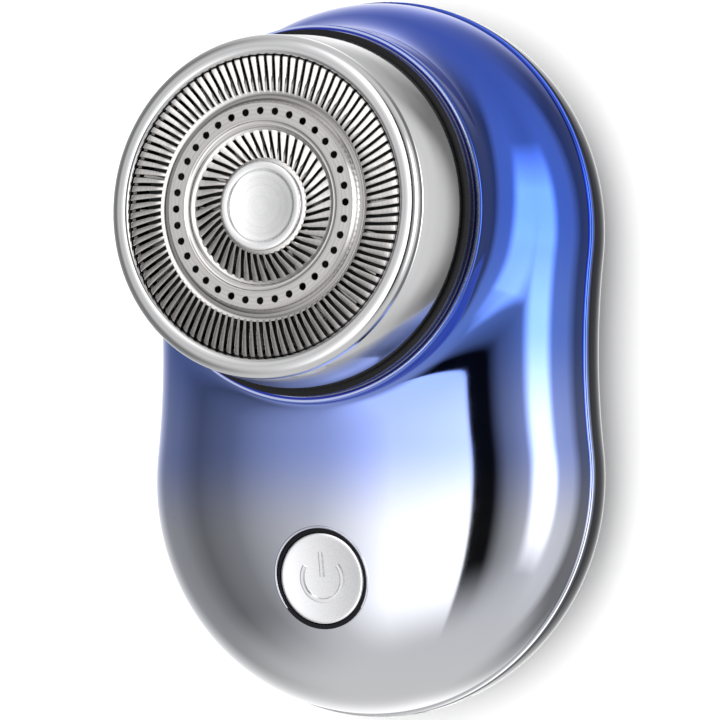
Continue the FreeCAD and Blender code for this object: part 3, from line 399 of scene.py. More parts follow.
def rear_shell():
    """The dish with its wall, four screw wells, and the port's and the lamp's holes."""
    edge = outline(480)
    loop = mesh_object("rear_outline", [(x, y, SEAM) for x, y in edge], [])
    skin = made_by("rear_skin", loop, dish_tree(), Around=len(edge), Rows=60,
                   Half_spacing=HALF_SPACING, Depth=SEAM, Power=REAR_POWER,
                   Flat_share=REAR_FLAT, Material=rear_finish)
    wall = skin.modifiers.new("wall", "SOLIDIFY")
    wall.thickness = SHELL_WALL
    wall.offset = 1.0
    piece = settled("rear_case", skin)
    well = [(0, -MM), (SCREW_WELL, -MM), (SCREW_WELL, SEAM / 2), (0, SEAM / 2)]
    cutters = [turned("screw_well", well, (x, y, 0), steps=48) for x, y in screw_places()]
    port_low, port_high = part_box("port_seal")
    lamp_low, lamp_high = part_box("led_window")
    cutters.append(lying_bar("port_mouth", port_low, port_high, 1.65 * MM))
    cutters.append(lying_bar("lamp_hole", lamp_low, lamp_high, 0.7 * MM))
    return carve(piece, cutters)


def lying_bar(name, low, high, corner, steps=12):
    """A bar along Y with rounded corners that fills a box's outline and runs out past it."""
    corner = min(corner, (high.x - low.x) / 2, (high.z - low.z) / 2)
    loop = []
    for quarter, (x, z) in enumerate(((high.x, high.z), (low.x, high.z),
                                      (low.x, low.z), (high.x, low.z))):
        middle = (x + math.copysign(corner, low.x + high.x - 2 * x),
                  z + math.copysign(corner, low.z + high.z - 2 * z))
        for step in range(steps + 1):
            angle = math.pi / 2 * (quarter + step / steps)
            loop.append((middle[0] + corner * math.cos(angle),
                         middle[1] + corner * math.sin(angle)))
    return lofted(name, [[(x, y, z) for x, z in loop] for y in (high.y + 4 * MM, low.y - 3 * MM)])


rear = rear_shell()
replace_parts(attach(rear, "case"), "rear_shell")

# ---------------------------------------------------------------------------------------
# Front shell.  One moulding: a deep dome, a round neck that flows up out of it, and a hole
# with a polished lip for the button.  Mirror plated, blue at the head fading to silver.
# ---------------------------------------------------------------------------------------
cap_low, cap_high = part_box("head_cap")
AXIS = Vector(((cap_low.x + cap_high.x) / 2, (cap_low.y + cap_high.y) / 2, 0))
trim_low, trim_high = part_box("neck_trim")
NECK_TOP = trim_low.z
NECK_RADIUS = trim_high.x + 0.1 * MM
NECK_BORE = NECK_RADIUS - 1.6 * MM
NECK_EDGE = 0.2 * MM
FLARE_REACH = 3.0 * MM
FLARE_RISE = 2.6 * MM
FRONT_POWER = 2.35
FRONT_RISE = 13.4 * MM
LIP = 0.25 * MM
BUTTON_TILT = math.radians(9)


def dome_share(x, y, inset):
    """How far out a place is between the ridge, 0, and the outline set in by inset, 1."""
    along = min(max(y, -HALF_SPACING), HALF_SPACING)
    return math.hypot(x, y - along) / half_width(along, LOBE - inset, WAIST - inset)


def dome_height(x, y, inset, rise, foot):
    share = min(dome_share(x, y, inset), 1.0)
    return foot + rise * (1 - share ** FRONT_POWER) ** (1 / FRONT_POWER)


def reach_of(direction, inset):
    """How far from the head's axis the outline lies in a direction."""
    near, far = 0.0, 4 * LOBE
    for _ in range(44):
        middle = (near + far) / 2
        spot = AXIS + direction * middle
        if dome_share(spot.x, spot.y, inset) < 1:
            near = middle
        else:
            far = middle
    return near


def quarter_turn(steps):
    """The angles of a quarter turn in equal steps."""
    return [math.pi / 2 * step / steps for step in range(steps + 1)]


def front_profile(direction):
    """The shell's closed section in one direction from the head's axis, as (radius, height)."""
    def outside(radius):
        spot = AXIS + direction * radius
        return dome_height(spot.x, spot.y, LIP, FRONT_RISE - LIP, SEAM + LIP)

    def inside(radius):
        spot = AXIS + direction * radius
        return dome_height(spot.x, spot.y, SHELL_WALL, FRONT_RISE - SHELL_WALL, SEAM)

    edge = reach_of(direction, 0)
    dome_end = reach_of(direction, LIP)
    inner_end = reach_of(direction, SHELL_WALL)
    across = min(FLARE_REACH, 0.5 * (dome_end - NECK_RADIUS))
    start = NECK_RADIUS + across
    slope = (outside(start + 0.02 * MM) - outside(start - 0.02 * MM)) / (0.04 * MM)
    corner = (NECK_RADIUS, outside(start) - slope * across)
    top = (NECK_RADIUS, corner[1] + min(FLARE_RISE, 0.75 * (NECK_TOP - NECK_EDGE - corner[1])))
    section = [(NECK_BORE, inside(NECK_BORE)), (NECK_BORE, NECK_TOP)]
    section += [(NECK_RADIUS - NECK_EDGE * (1 - math.sin(turn)),
                 NECK_TOP - NECK_EDGE * (1 - math.cos(turn)))
                for turn in quarter_turn(4)]
    wall_foot = section[-1][1]
    section += [(NECK_RADIUS, wall_foot + (top[1] - wall_foot) * step / 4) for step in range(1, 4)]
    for step in range(17):
        part = step / 16
        section.append(tuple(
            (1 - part) ** 2 * a + 2 * part * (1 - part) * b + part ** 2 * c
            for a, b, c in zip(top, corner, (start, outside(start)))))
    rows = 60
    for step in range(1, rows + 1):
        radius = dome_end - (dome_end - start) * (1 - step / rows) ** FRONT_POWER
        section.append((radius, outside(radius)))
    section += [(dome_end + (edge - dome_end) * (1 - math.cos(turn)),
                 SEAM + LIP * (1 - 0.8 * math.sin(turn)))
                for turn in quarter_turn(4)[1:]]
    section += [(edge, SEAM), (inner_end, SEAM)]
    rows = 12
    for step in range(1, rows):
        radius = inner_end - (inner_end - NECK_BORE) * (step / rows) ** 2
        section.append((radius, inside(radius)))
    return section


def front_shell():
    """The section swept round the head's axis, with the button's hole cut at its tilt."""
    steps = 560
    rows = []
    for step in range(steps):
        angle = 2 * math.pi * step / steps
        direction = Vector((math.cos(angle), math.sin(angle), 0))
        rows.append([(AXIS.x + direction.x * radius, AXIS.y + direction.y * radius, height)
                     for radius, height in front_profile(direction)])
    shell = lofted("front_case", rows, 30, endless=True)
    shell.data.materials.append(front_finish)
    seal_low, seal_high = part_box("button_seal")
    middle = (seal_low + seal_high) / 2
    hole = (seal_high.x - seal_low.x) / 2
    surface = (0, middle.y, dome_height(0, middle.y, LIP, FRONT_RISE - LIP, SEAM + LIP))
    bore = turned("button_bore", [(0, -6 * MM), (hole, -6 * MM), (hole, 2 * MM), (0, 2 * MM)],
                  surface, steps=144, tilt=BUTTON_TILT)
    lip = hole_lip(middle.y, hole)
    lip.data.materials.append(front_finish)
    uncut = new_object("uncut_front", shell.data.copy())
    bpy.context.view_layer.update()
    carved = carve(shell, [bore])
    dome_normals(carved, uncut, Vector(surface), hole + 2.5 * MM)
    bpy.data.objects.remove(uncut)
    return joined("front_case", [carved, lip])


def hole_lip(middle_y, hole):
    """The polished edge of the button's hole: a thin bead that follows the dome."""
    around, sides, thick = 144, 10, 0.13 * MM
    tilt = Matrix.Rotation(BUTTON_TILT, 3, "X")
    rows = []
    for k in range(around):
        way = tilt @ Vector((math.cos(2 * math.pi * k / around),
                             math.sin(2 * math.pi * k / around), 0))
        x, y = way.x * hole, middle_y + way.y * hole
        spot = Vector((x, y, dome_height(x, y, LIP, FRONT_RISE - LIP, SEAM + LIP) - 0.06 * MM))
        rows.append([spot + thick * (way * math.cos(turn) - Vector((0, 0, math.sin(turn))))
                     for turn in (2 * math.pi * side / sides for side in range(sides))])
    return lofted("hole_lip", rows, 60, endless=True)


front_finish = plating("front_plating", [
    (0.0, (0.68, 0.68, 0.7)), (0.24, (0.58, 0.6, 0.68)), (0.38, (0.26, 0.34, 0.74)),
    (0.54, (0.09, 0.18, 0.64)), (0.7, (0.045, 0.12, 0.6)), (1.0, (0.04, 0.09, 0.5))],
    0.04, 0.075, 0.25)
front = front_shell()
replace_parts(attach(front, "case"), "front_shell")

# ---------------------------------------------------------------------------------------
# Turned metal of the head: the cap, the centre disc, and the neck's bright trim.  Pressed
# or turned aluminium and plated brass, each with the fine rings that the tool leaves.
# ---------------------------------------------------------------------------------------
foil_low, foil_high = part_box("cutter_foil")
FOIL_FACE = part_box("centre_disc")[0].z


def axis_distance(tree, centre, upright):
    """How far a place is from the head's axis, with upright as the share its height adds."""
    away = wire(tree, "ShaderNodeVectorMath", {0: object_place(tree), 1: centre},
                operation="SUBTRACT").outputs[0]
    flat = wire(tree, "ShaderNodeVectorMath", {0: away, 1: (1.0, 1.0, upright)},
                operation="MULTIPLY").outputs[0]
    return wire(tree, "ShaderNodeVectorMath", {0: flat}, operation="LENGTH").outputs["Value"]


def scaled(tree, colour, shade):
    return wire(tree, "ShaderNodeVectorMath", {0: colour, "Scale": shade},
                operation="SCALE").outputs[0]


def turning_group():
    """Fine rings about the head's axis: a shade and a height that change with the radius."""
    tree = bpy.data.node_groups.new("turning_rings", "ShaderNodeTree")
    given = sockets(tree, [("Centre", "Vector", AXIS[:]), ("Pitch", "Float", 0.0001),
                           ("Light", "Float", 1.0), ("Dark", "Float", 0.9)],
                    [("Shade", "Float"), ("Height", "Float")])
    radius = axis_distance(tree, given["Centre"], 0.3)
    rings = wire(tree, "ShaderNodeTexNoise", {
        "W": maths(tree, "DIVIDE", radius, given["Pitch"]), "Scale": 1.0, "Detail": 3.0},
        noise_dimensions="1D").outputs["Fac"]
    shade = ranged(tree, rings, 0.25, 0.75, given["Dark"], given["Light"])
    wire(tree, "NodeGroupOutput", {"Shade": shade, "Height": rings})
    return tree


turning_rings = turning_group()


def turned_metal(name, colour, smooth, worn, pitch, depth):
    """Bare or plated metal with turning rings in its shade and its surface."""
    material, tree, shader = new_material(name)
    rings = group_node(tree, turning_rings, Pitch=pitch, Light=1.0, Dark=0.86)
    tint = scaled(tree, colour, rings.outputs["Shade"])
    polish = group_node(tree, uneven_polish, Grain_size=0.8 * MM, Smooth=smooth, Worn=worn)
    feed(tree, shader, Base_Color=tint, Metallic=1.0, Roughness=polish.outputs["Roughness"],
         Normal=bump(tree, rings.outputs["Height"], depth))
    return material


def head_cap():
    """Sloping wall, a fine groove under the rim, a rounded rim and a softer inner edge."""
    base, top = cap_low.z, cap_high.z
    wide, narrow, bore, mouth = cap_high.x, cap_high.x - 0.75 * MM, 16.0 * MM, 14.4 * MM
    rim, edge, groove = 0.95 * MM, 0.5 * MM, 0.09 * MM
    slope = (wide - narrow) / (top - base)

    def wall(height):
        return wide - slope * (height - base)

    notch = top - 1.35 * MM
    section = [(bore, base + 0.15 * MM), (bore + 0.15 * MM, base), (wall(base) - 0.15 * MM, base),
               (wall(base), base + 0.15 * MM), (wall(notch - 0.12 * MM), notch - 0.12 * MM),
               (wall(notch) - groove, notch), (wall(notch + 0.1 * MM), notch + 0.1 * MM)]
    section += [(wall(top - rim) - rim * (1 - math.cos(turn)), top - rim * (1 - math.sin(turn)))
                for turn in quarter_turn(14)]
    section += [(mouth + edge * (1 - math.sin(turn)), top - edge * (1 - math.cos(turn)))
                for turn in quarter_turn(8)]
    section += [(mouth, foil_low.z + 0.4 * MM), (bore, foil_low.z + 0.4 * MM)]
    return turned("head_cap_turned", section, AXIS, steps=256)


def centre_disc():
    """A raised rim round a shallow dish."""
    wide, rise, dish, depth = 4.25 * MM, 0.45 * MM, 3.3 * MM, 0.2 * MM
    corner = 0.2 * MM
    section = [(0, 0), (wide, 0)]
    section += [(wide - corner * (1 - math.cos(turn)), rise - corner * (1 - math.sin(turn)))
                for turn in quarter_turn(6)]
    section += [(dish + 0.3 * MM * (1 - step / 8), rise - depth * (3 - 2 * step / 8)
                 * (step / 8) ** 2) for step in range(9)]
    section += [(0, rise - depth * 0.9)]
    return turned("centre_disc_turned", section, AXIS + Vector((0, 0, FOIL_FACE)), steps=192)


cap_finish = turned_metal("cap_satin_chrome", (0.74, 0.74, 0.75), 0.1, 0.17, 0.25 * MM,
                          0.0002 * MM)
disc_finish = turned_metal("disc_satin", (0.94, 0.94, 0.95), 0.22, 0.3, 0.12 * MM, 0.0006 * MM)


def lined_trim():
    """A black land inside, then a bright, a blue and a bright turned line."""
    material, tree, shader = new_material("trim_lined")
    black, silver, blue = (0.01, 0.01, 0.011), (0.75, 0.8, 0.95), (0.03, 0.05, 0.4)
    radius = axis_distance(tree, (AXIS.x, AXIS.y, 0.0), 0.0)
    lines = colour_ramp(tree, ranged(tree, radius, 16.6 * MM, 18.1 * MM), (
        (0.0, black), (0.5, black), (0.56, silver), (0.66, silver), (0.72, blue),
        (0.84, blue), (0.9, (0.6, 0.65, 0.95)), (1.0, (0.5, 0.6, 0.95))))
    polish = group_node(tree, uneven_polish, Grain_size=0.8 * MM, Smooth=0.08, Worn=0.14)
    feed(tree, shader, Base_Color=lines.outputs["Color"], Metallic=1.0,
         Roughness=polish.outputs["Roughness"])
    return material


trim_finish = lined_trim()
cap = head_cap()
cap.data.materials.append(cap_finish)
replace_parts(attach(cap, "head"), "head_cap")
disc = centre_disc()
disc.data.materials.append(disc_finish)
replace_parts(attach(disc, "head"), "centre_disc")
nodes["neck_trim"].data.materials[0] = trim_finish

# ---------------------------------------------------------------------------------------
# Foil.  Thin spring steel: an outer and an inner track of slits over the cutters, with the
# ribs between them slightly turned, and a raised band of small round holes in between.
# ---------------------------------------------------------------------------------------
OUTER_RIBS, INNER_RIBS, DOTS = 103, 45, 36
OUTER_TRACK = (10.75 * MM, 14.33 * MM)
INNER_TRACK = (4.35 * MM, 7.25 * MM)
OUTER_SLIT, INNER_SLIT = 0.28 * MM, 0.3 * MM
RIB_DEPTH = 0.4 * MM
FOIL_THICKNESS = 0.35 * MM


def round_tree():
    """Geometry Nodes: copies of one piece, equally spaced round an upright axis."""
    tree = bpy.data.node_groups.new("round_the_axis", "GeometryNodeTree")
    given = sockets(tree, [("Piece", "Geometry", None), ("Count", "Int", 12),
                           ("Centre", "Vector", (0, 0, 0)), ("Material", "Material", None)],
                    [("Ring", "Geometry")])
    spots = wire(tree, "GeometryNodePoints", {"Count": given["Count"],
                                              "Position": given["Centre"]}).outputs[0]
    index = wire(tree, "GeometryNodeInputIndex").outputs[0]
    step = maths(tree, "DIVIDE", 2 * math.pi, given["Count"])
    turn = wire(tree, "ShaderNodeCombineXYZ", {"Z": maths(tree, "MULTIPLY", index, step)})
    copies = wire(tree, "GeometryNodeInstanceOnPoints", {
        "Points": spots, "Instance": given["Piece"], "Rotation": turn.outputs[0]}).outputs[0]
    real = wire(tree, "GeometryNodeRealizeInstances", {"Geometry": copies}).outputs[0]
    joined = wire(tree, "GeometryNodeMergeByDistance",
                  {"Geometry": real, "Distance": 0.000002}).outputs[0]
    coat = wire(tree, "GeometryNodeSetMaterial", {"Geometry": joined,
                                                  "Material": given["Material"]})
    wire(tree, "NodeGroupOutput", {"Ring": coat.outputs[0]})
    return tree


round_the_axis = round_tree()


def rib(name, track, count, slit, lean, curl, wrap):
    """One rib between two slits: its top slopes to one side, and it may fold over the rim."""
    low, high = track
    stations = [low + (high - low) * part for part in
                (0, 0.08, 0.25, 0.45, 0.65, 0.8, 0.9, 0.96, 0.99, 1.0)]
    drops = [0.25 * MM, 0.04 * MM, 0, 0, 0, 0, 0, 0, 0, 0.04 * MM]
    if wrap:
        drops = [0.12 * MM, 0, 0, 0, 0, 0, 0.01 * MM, 0.05 * MM, 0.14 * MM, 0.6 * MM]
    rows = []
    for radius, drop in zip(stations, drops):
        width = 2 * math.pi * radius / count - slit
        turn = -lean * ((high - radius) / (high - low)) ** curl
        section = [(width / 2, -RIB_DEPTH), (width / 2, -0.04 * MM),
                   (width / 2 - 0.05 * MM, 0), (-width * 0.12, -0.03 * MM),
                   (-width / 2 + 0.05 * MM, -0.11 * MM), (-width / 2, -0.2 * MM),
                   (-width / 2, -RIB_DEPTH)]
        rows.append([(radius * math.cos(turn + across / radius),
                      radius * math.sin(turn + across / radius), height - drop)
                     for across, height in section])
    return lofted(name, rows, 25)


def dot_sector():
    """One hole's share of the raised band, with the round hole countersunk."""
    low, high, middle = 8.15 * MM, 9.72 * MM, 9.0 * MM
    hole, sink = 0.34 * MM, 0.05 * MM
    half = math.pi / DOTS
    steps = 8
    edge = [(high, -half + 2 * half * k / steps) for k in range(steps)]
    edge += [(high - (high - low) * k / steps, half) for k in range(steps)]
    edge += [(low, half - 2 * half * k / steps) for k in range(steps)]
    edge += [(low + (high - low) * k / steps, -half) for k in range(steps)]
    rim = [(radius * math.cos(angle), radius * math.sin(angle)) for radius, angle in edge]
    count = len(rim)
    # each ring follows the sector's rim or the hole, from the top face down to the back face
    rings = [(None, 0), (hole + 3 * sink, 0), (hole + sink, 0), (hole, -sink),
             (hole, -FOIL_THICKNESS), (None, -FOIL_THICKNESS)]
    points = []
    for radius, height in rings:
        for x, y in rim:
            away = math.atan2(y, x - middle)
            spot = (middle + radius * math.cos(away), radius * math.sin(away)) if radius else (x, y)
            points.append((*spot, height))
    faces = []
    for k in range(len(rings) - 1):
        faces += ladder(k * count, (k + 1) * count, count)
    last = len(rings) - 1
    for start in (0, 2 * steps):
        for step in range(start, start + steps):
            after = (step + 1) % count
            faces.append([last * count + step, last * count + after, after, step])
    return mesh_object("dot_sector", points, faces, 30)


def foil_rings():
    """The plain turned rings that the ribs and the dotted band run into."""
    groove = [(9.7, -0.3), (10.95, -0.4), (10.95, -0.1), (10.72, -0.12), (10.5, -0.27),
              (10.22, -0.25), (10.02, 0.0), (9.9, 0.3), (9.72, 0.47), (9.7, 0.46)]
    ridge = [(7.1, -0.4), (8.17, -0.3), (8.17, 0.46), (8.1, 0.44), (8.0, 0.3), (7.82, 0.24),
             (7.7, 0.26), (7.58, 0.2), (7.45, 0.02), (7.3, -0.02), (7.1, -0.14)]
    hub = [(0.0, -0.4), (4.6, -0.4), (4.6, -0.16), (4.3, -0.03), (0.0, -0.03)]
    skirt = [(13.9, -2.6), (14.2, -2.6), (14.33, -0.5), (14.2, -0.4), (13.9, -0.5)]
    flange = [(13.9, -2.95), (15.98, -2.95), (15.98, -2.6), (13.9, -2.6)]
    centre = AXIS + Vector((0, 0, FOIL_FACE))
    return [turned("foil_ring", [(radius * MM, height * MM) for radius, height in section],
                   centre, steps=256)
            for section in (groove, ridge, hub, skirt, flange)]


def foil_metal():
    """Bright steel with a fine uneven grain, and painted shade that darkens its ribs' sides down
    into the slits.
    """
    material, tree, shader = new_material("foil_steel")
    polish = group_node(tree, uneven_polish, Grain_size=0.5 * MM, Smooth=0.16, Worn=0.26)
    rings = group_node(tree, turning_rings, Pitch=0.2 * MM, Light=1.0, Dark=0.85)
    height = wire(tree, "ShaderNodeSeparateXYZ", {0: object_place(tree)}).outputs["Z"]
    # painted shade: lower down the ribs' sides the steel's colour falls to 0.12 of itself, so the
    # slits look dark
    depth = ranged(tree, height, FOIL_FACE - RIB_DEPTH, FOIL_FACE - 0.12 * MM, 0.12, 1.0)
    tint = scaled(tree, (0.66, 0.64, 0.63), maths(tree, "MULTIPLY", depth, rings.outputs["Shade"]))
    feed(tree, shader, Base_Color=tint, Metallic=1.0, Roughness=polish.outputs["Roughness"],
         Normal=bump(tree, polish.outputs["Height"], 0.001 * MM))
    return material


foil_finish = foil_metal()
face = tuple(AXIS + Vector((0, 0, FOIL_FACE)))
outer_ribs = made_by("outer_ribs", rib("outer_rib", OUTER_TRACK, OUTER_RIBS, OUTER_SLIT,
                                       math.radians(2.4), 1.0, True),
                     round_the_axis, Count=OUTER_RIBS, Centre=face, Material=foil_finish)
inner_ribs = made_by("inner_ribs", rib("inner_rib", INNER_TRACK, INNER_RIBS, INNER_SLIT,
                                       math.radians(11), 1.4, False),
                     round_the_axis, Count=INNER_RIBS, Centre=face, Material=foil_finish)
dot_band = made_by("dot_band", dot_sector(), round_the_axis, Count=DOTS,
                   Centre=(AXIS.x, AXIS.y, foil_high.z), Material=foil_finish)
rings = foil_rings()
for ring in rings:
    ring.data.materials.append(foil_finish)
foil = joined("foil", [outer_ribs, inner_ribs, dot_band] + rings)
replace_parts(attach(foil, "head"), "cutter_foil")

# ---------------------------------------------------------------------------------------
# Power button.  A satin metal cap with a turned rim and a raised power sign, on a stem of
# the same satin metal that reaches down to the switch.
# ---------------------------------------------------------------------------------------
button_low, button_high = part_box("power_button")
seal_low, seal_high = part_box("button_seal")
BUTTON_RADIUS = 4.45 * MM
BUTTON_DISH = 0.16 * MM
BUTTON_EDGE = 0.28 * MM
FLANGE_TOP, FLANGE_LOW = -2.1 * MM, -2.9 * MM
SIGN_RADIUS, SIGN_WIDTH, SIGN_RISE = 2.14 * MM, 0.5 * MM, 0.13 * MM
SIGN_GAP = math.radians(54)


def button_face():
    """The middle of the button's face, from the top of its rim."""
    middle_y = (seal_low.y + seal_high.y) / 2 - 0.08 * MM
    return Vector((0, middle_y, button_high.z - BUTTON_RADIUS * math.sin(BUTTON_TILT)))


def stroke(name, path, width, rise, sink):
    """A raised stroke with sloping sides along a path, closed at its ends."""
    section = ((-0.5, -sink), (-0.5, 0.2 * rise), (-0.26, rise), (0.26, rise),
               (0.5, 0.2 * rise), (0.5, -sink))
    rows = []
    for k, spot in enumerate(path):
        before, after = path[max(k - 1, 0)], path[min(k + 1, len(path) - 1)]
        side = (after - before).normalized().cross(Vector((0, 0, 1)))
        rows.append([spot + side * across * width + Vector((0, 0, lift))
                     for across, lift in section])
    return lofted(name, rows, 25)


def dish_level(radius):
    return -BUTTON_DISH * (1 - (radius / (BUTTON_RADIUS - BUTTON_EDGE)) ** 2)


def power_button():
    flat = BUTTON_RADIUS - BUTTON_EDGE
    stem = (button_high.z - button_low.z) / math.cos(BUTTON_TILT) - 0.95 * MM
    section = [(0, -stem), (1.5 * MM, -stem), (1.5 * MM, FLANGE_LOW),
               (BUTTON_RADIUS + 0.9 * MM, FLANGE_LOW), (BUTTON_RADIUS + 0.9 * MM, FLANGE_TOP),
               (BUTTON_RADIUS, FLANGE_TOP)]
    section += [(BUTTON_RADIUS - BUTTON_EDGE * 0.9 * (1 - math.cos(turn)),
                 -BUTTON_EDGE * 0.8 * (1 - math.sin(turn)))
                for turn in quarter_turn(6)]
    section += [(flat * (1 - step / 14), dish_level(flat * (1 - step / 14)))
                for step in range(15)]
    body = turned("button_body", section, (0, 0, 0), steps=160)
    arc = [Vector((SIGN_RADIUS * math.sin(turn), SIGN_RADIUS * math.cos(turn),
                   dish_level(SIGN_RADIUS)))
           for turn in (SIGN_GAP + (2 * math.pi - 2 * SIGN_GAP) * k / 60 for k in range(61))]
    bar = [Vector((0, y, dish_level(y))) for y in (0.15 * MM + 2.45 * MM * k / 8 for k in range(9))]
    strokes = [stroke("sign", path, SIGN_WIDTH, SIGN_RISE, 0.1 * MM) for path in (arc, bar)]
    piece = joined("button", [body] + strokes)
    piece.data.transform(Matrix.Translation(button_face()) @ Matrix.Rotation(BUTTON_TILT, 4, "X"))
    return piece


def satin_button_metal():
    """Blasted and anodised: a fine even grain."""
    material, tree, shader = new_material("button_satin")
    polish = group_node(tree, uneven_polish, Grain_size=0.25 * MM, Smooth=0.2, Worn=0.3)
    grain = wire(tree, "ShaderNodeTexNoise", {"Vector": object_place(tree),
                                              "Scale": 9000.0}).outputs["Fac"]
    tint = scaled(tree, (0.9, 0.9, 0.93), ranged(tree, grain, 0.0, 1.0, 0.94, 1.03))
    feed(tree, shader, Base_Color=tint, Metallic=1.0, Roughness=polish.outputs["Roughness"],
         Normal=bump(tree, grain, 0.0006 * MM))
    return material


button = power_button()
button.data.materials.clear()
button.data.materials.append(satin_button_metal())
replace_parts(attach(button, "button"), "power_button")

# ---------------------------------------------------------------------------------------
# Moulded plastic and rubber: the black seat in the neck, the seals, the switch, the chips
# and the insulation of the leads.
# ---------------------------------------------------------------------------------------


def mottled(name, colour, shades, smooth, worn, grain, depth, **more):
    """A finish whose shade, polish and height all vary finely, with its grain's size given."""
    material, tree, shader = new_material(name)
    polish = group_node(tree, uneven_polish, Grain_size=grain, Smooth=smooth, Worn=worn)
    tint = scaled(tree, colour, ranged(tree, polish.outputs["Height"], 0.0, 1.0, *shades))
    feed(tree, shader, Base_Color=tint, Roughness=polish.outputs["Roughness"],
         Normal=bump(tree, polish.outputs["Height"], depth), **more)
    return material


def moulded(name, colour, smooth, worn, grain, depth, gloss=0.5, **more):
    """Plastic or rubber with the fine spark-eroded texture of its mould."""
    return mottled(name, colour, (0.85, 1.15), smooth, worn, grain, depth,
                   Specular_IOR_Level=gloss, **more)


MOULDED = {
    "black_plastic": moulded("black_plastic_moulded", (0.006, 0.006, 0.007), 0.22, 0.34,
                             0.5 * MM, 0.0008 * MM, gloss=0.2),
    "seal_rubber": moulded("black_rubber", (0.006, 0.006, 0.008), 0.45, 0.6, 0.4 * MM,
                           0.002 * MM, gloss=0.1),
    # painted shade: the parts moulded in white plastic, the cutter carrier seen through the foil's
    # slits among them, are coloured near-black so the slits look dark
    "white_plastic": moulded("smoked_acetal", (0.03, 0.03, 0.032), 0.3, 0.42, 0.6 * MM,
                             0.001 * MM, gloss=0.2),
    "board_green": moulded("green_solder_mask", (0.015, 0.12, 0.05), 0.25, 0.4, 1.2 * MM,
                           0.004 * MM),
    "foam_pad": moulded("grey_foam", (0.12, 0.12, 0.13), 0.8, 0.95, 0.3 * MM, 0.03 * MM),
    "red_wire": moulded("red_insulation", (0.5, 0.02, 0.015), 0.3, 0.42, 0.5 * MM, 0.001 * MM),
    "black_wire": moulded("black_insulation", (0.012, 0.012, 0.013), 0.3, 0.42, 0.5 * MM,
                          0.001 * MM),
    "clear_window": moulded("frosted_window", (0.75, 0.82, 0.88), 0.15, 0.25, 0.5 * MM,
                            0.001 * MM, Transmission_Weight=0.6),
}

# ---------------------------------------------------------------------------------------
# Metal inside: steel, nickel, bronze and the battery's pouch foil, plain or as they come
# from the press.
# ---------------------------------------------------------------------------------------


def plain_metal(name, colour, smooth, worn, grain, depth):
    """Metal as it comes from the press or the roll, with a little uneven tarnish."""
    return mottled(name, colour, (0.8, 1.1), smooth, worn, grain, depth, Metallic=1.0)


METALS = {
    "steel": plain_metal("machined_steel", (0.42, 0.41, 0.4), 0.22, 0.38, 0.6 * MM, 0.001 * MM),
    "bright_metal": plain_metal("nickel_plate", (0.7, 0.68, 0.65), 0.12, 0.24, 0.8 * MM,
                                0.0005 * MM),
    "bronze": plain_metal("sintered_bronze", (0.55, 0.33, 0.15), 0.35, 0.5, 0.3 * MM,
                          0.003 * MM),
    "foil_pouch": plain_metal("pouch_foil", (0.66, 0.67, 0.69), 0.28, 0.45, 3.0 * MM,
                              0.02 * MM),
}
for part in frame["record"]["subparts"]:
    finish = {**MOULDED, **METALS}.get(part["material_slot"])
    if finish is not None:
        nodes[part["node"]].data.materials[0] = finish

# ---------------------------------------------------------------------------------------
# The bench: a pale floor, soft panels all round, one soft lamp overhead, and a long lens
# above the shaver, turned a little to its right.
# ---------------------------------------------------------------------------------------
VIEW_TURN = math.radians(26.67)
VIEW_DIP = math.radians(3.41)
VIEW_DISTANCE = 0.6
VIEW_CENTRE = Vector((-1.63 * MM, -0.16 * MM, 10.31 * MM))
LENS = 306.7


def bench_camera():
    """Looks down on the shaver from its right and from a little below, with +Y up the frame."""
    back = Vector((math.sin(VIEW_TURN) * math.cos(VIEW_DIP), -math.sin(VIEW_DIP),
                   math.cos(VIEW_TURN) * math.cos(VIEW_DIP)))
    right = Vector((0, 1, 0)).cross(back).normalized()
    up = back.cross(right)
    data = bpy.data.cameras.new("bench_camera")
    data.lens = LENS
    data.sensor_width = 36
    camera = new_object("bench_camera", data)
    turn = Matrix((right, up, back)).transposed().to_4x4()
    camera.matrix_world = Matrix.Translation(VIEW_CENTRE + back * VIEW_DISTANCE) @ turn
    bpy.context.scene.camera = camera


def overhead_lamp():
    """A wide soft lamp straight above, which doesn't show in the polished faces."""
    width, brightness = 2.4, 1.3
    data = bpy.data.lights.new("overhead", "AREA")
    data.shape = "RECTANGLE"
    data.size = data.size_y = width
    data.energy = brightness * width * width * math.pi
    lamp = new_object("overhead", data)
    lamp.location.z = 1.2
    lamp.visible_glossy = False


def pale_floor():
    """Smooth pale board with a faint grain."""
    material, tree, shader = new_material("pale_board")
    grain = wire(tree, "ShaderNodeTexNoise", {"Vector": object_place(tree),
                                              "Scale": 40.0}).outputs["Fac"]
    shade = ranged(tree, grain, 0.0, 1.0, 0.93, 0.95)
    feed(tree, shader, Base_Color=wire(tree, "ShaderNodeCombineColor", {
        0: shade, 1: shade, 2: shade}).outputs[0], Roughness=0.9)
    size = 1.5
    board = mesh_object("floor", [(-size, -size, 0), (size, -size, 0), (size, size, 0),
                                  (-size, size, 0)], [[0, 1, 2, 3]])
    board.data.materials.append(material)
    board.visible_glossy = False


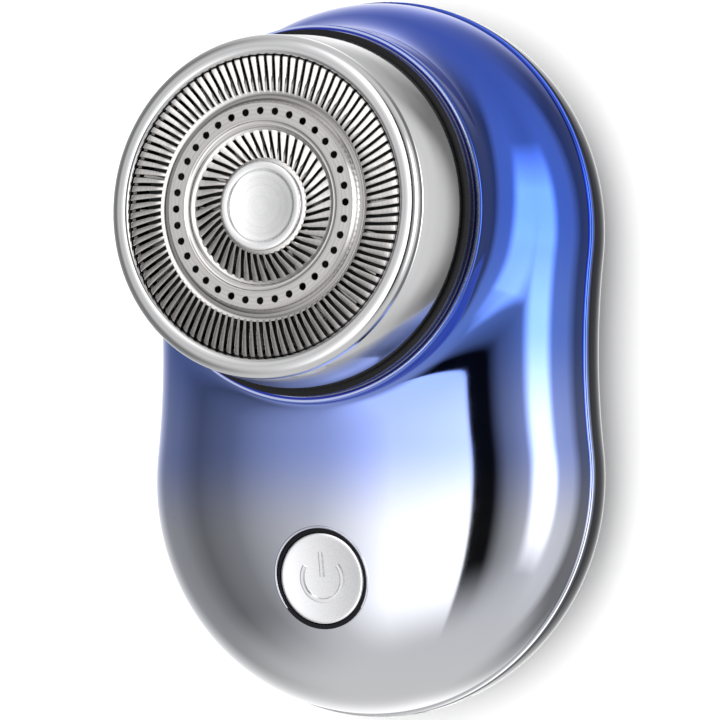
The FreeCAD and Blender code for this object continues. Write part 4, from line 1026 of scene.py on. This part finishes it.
def surround():
    """A soft panel overhead, a dark gap on its right, and a tall soft panel at the right."""
    world = bpy.data.worlds.new("surround")
    world.use_nodes = True
    tree = world.node_tree
    way = wire(tree, "ShaderNodeTexCoord").outputs["Generated"]
    split = wire(tree, "ShaderNodeSeparateXYZ", {0: way}).outputs
    lean = maths(tree, "ARCTAN2", split["X"], split["Z"])
    stops = ((-180, 0.14), (-160, 0.34), (-145, 0.28), (-110, 0.1), (-88, 0.09), (-68, 0.05),
             (-50, 0.08), (-28, 0.2), (-10, 0.46), (22, 0.58), (24, 0.002), (36, 0.002), (46, 0.09),
             (62, 0.16), (84, 0.2), (104, 0.24), (126, 0.22), (142, 0.06),
             (164, 0.06), (180, 0.14))
    across = colour_ramp(tree, ranged(tree, lean, -math.pi, math.pi), [
        (degrees / 360 + 0.5, (level, level, level)) for degrees, level in stops])
    # towards the two ends the panels melt into one even level
    foot = ranged(tree, split["Y"], -0.92, -0.45, 1.0, 0.0, "SMOOTHSTEP")
    head = ranged(tree, split["Y"], 0.55, 0.97, 0.0, 1.0, "SMOOTHSTEP")
    ends = maths(tree, "ADD", foot, head)
    total = maths(tree, "ADD",
                  maths(tree, "MULTIPLY", across.outputs["Color"],
                        maths(tree, "SUBTRACT", 1.0, ends)), maths(tree, "MULTIPLY", ends, 0.2))
    # the tall panel at the right, which fades out towards the foot
    aside = maths(tree, "ABSOLUTE", maths(tree, "SUBTRACT", lean, math.radians(84)))
    tall = ranged(tree, aside, math.radians(7), math.radians(21), 0.8, 0.0, "SMOOTHSTEP")
    along = ranged(tree, split["Y"], -0.6, 0.0)
    short = ranged(tree, split["Y"], 0.3, 0.6, 1.0, 0.0)
    total = maths(tree, "ADD", total,
                  maths(tree, "MULTIPLY", tall, maths(tree, "MULTIPLY", along, short)))
    background = tree.nodes["Background"]
    tree.links.new(wire(tree, "ShaderNodeCombineColor", {0: total, 1: total,
                                                         2: total}).outputs[0],
                   background.inputs["Color"])
    background.inputs["Strength"].default_value = 3.9
    bpy.context.scene.world = world
    bpy.context.scene.view_settings.view_transform = "Standard"


bench_camera()
pale_floor()
surround()
overhead_lamp()
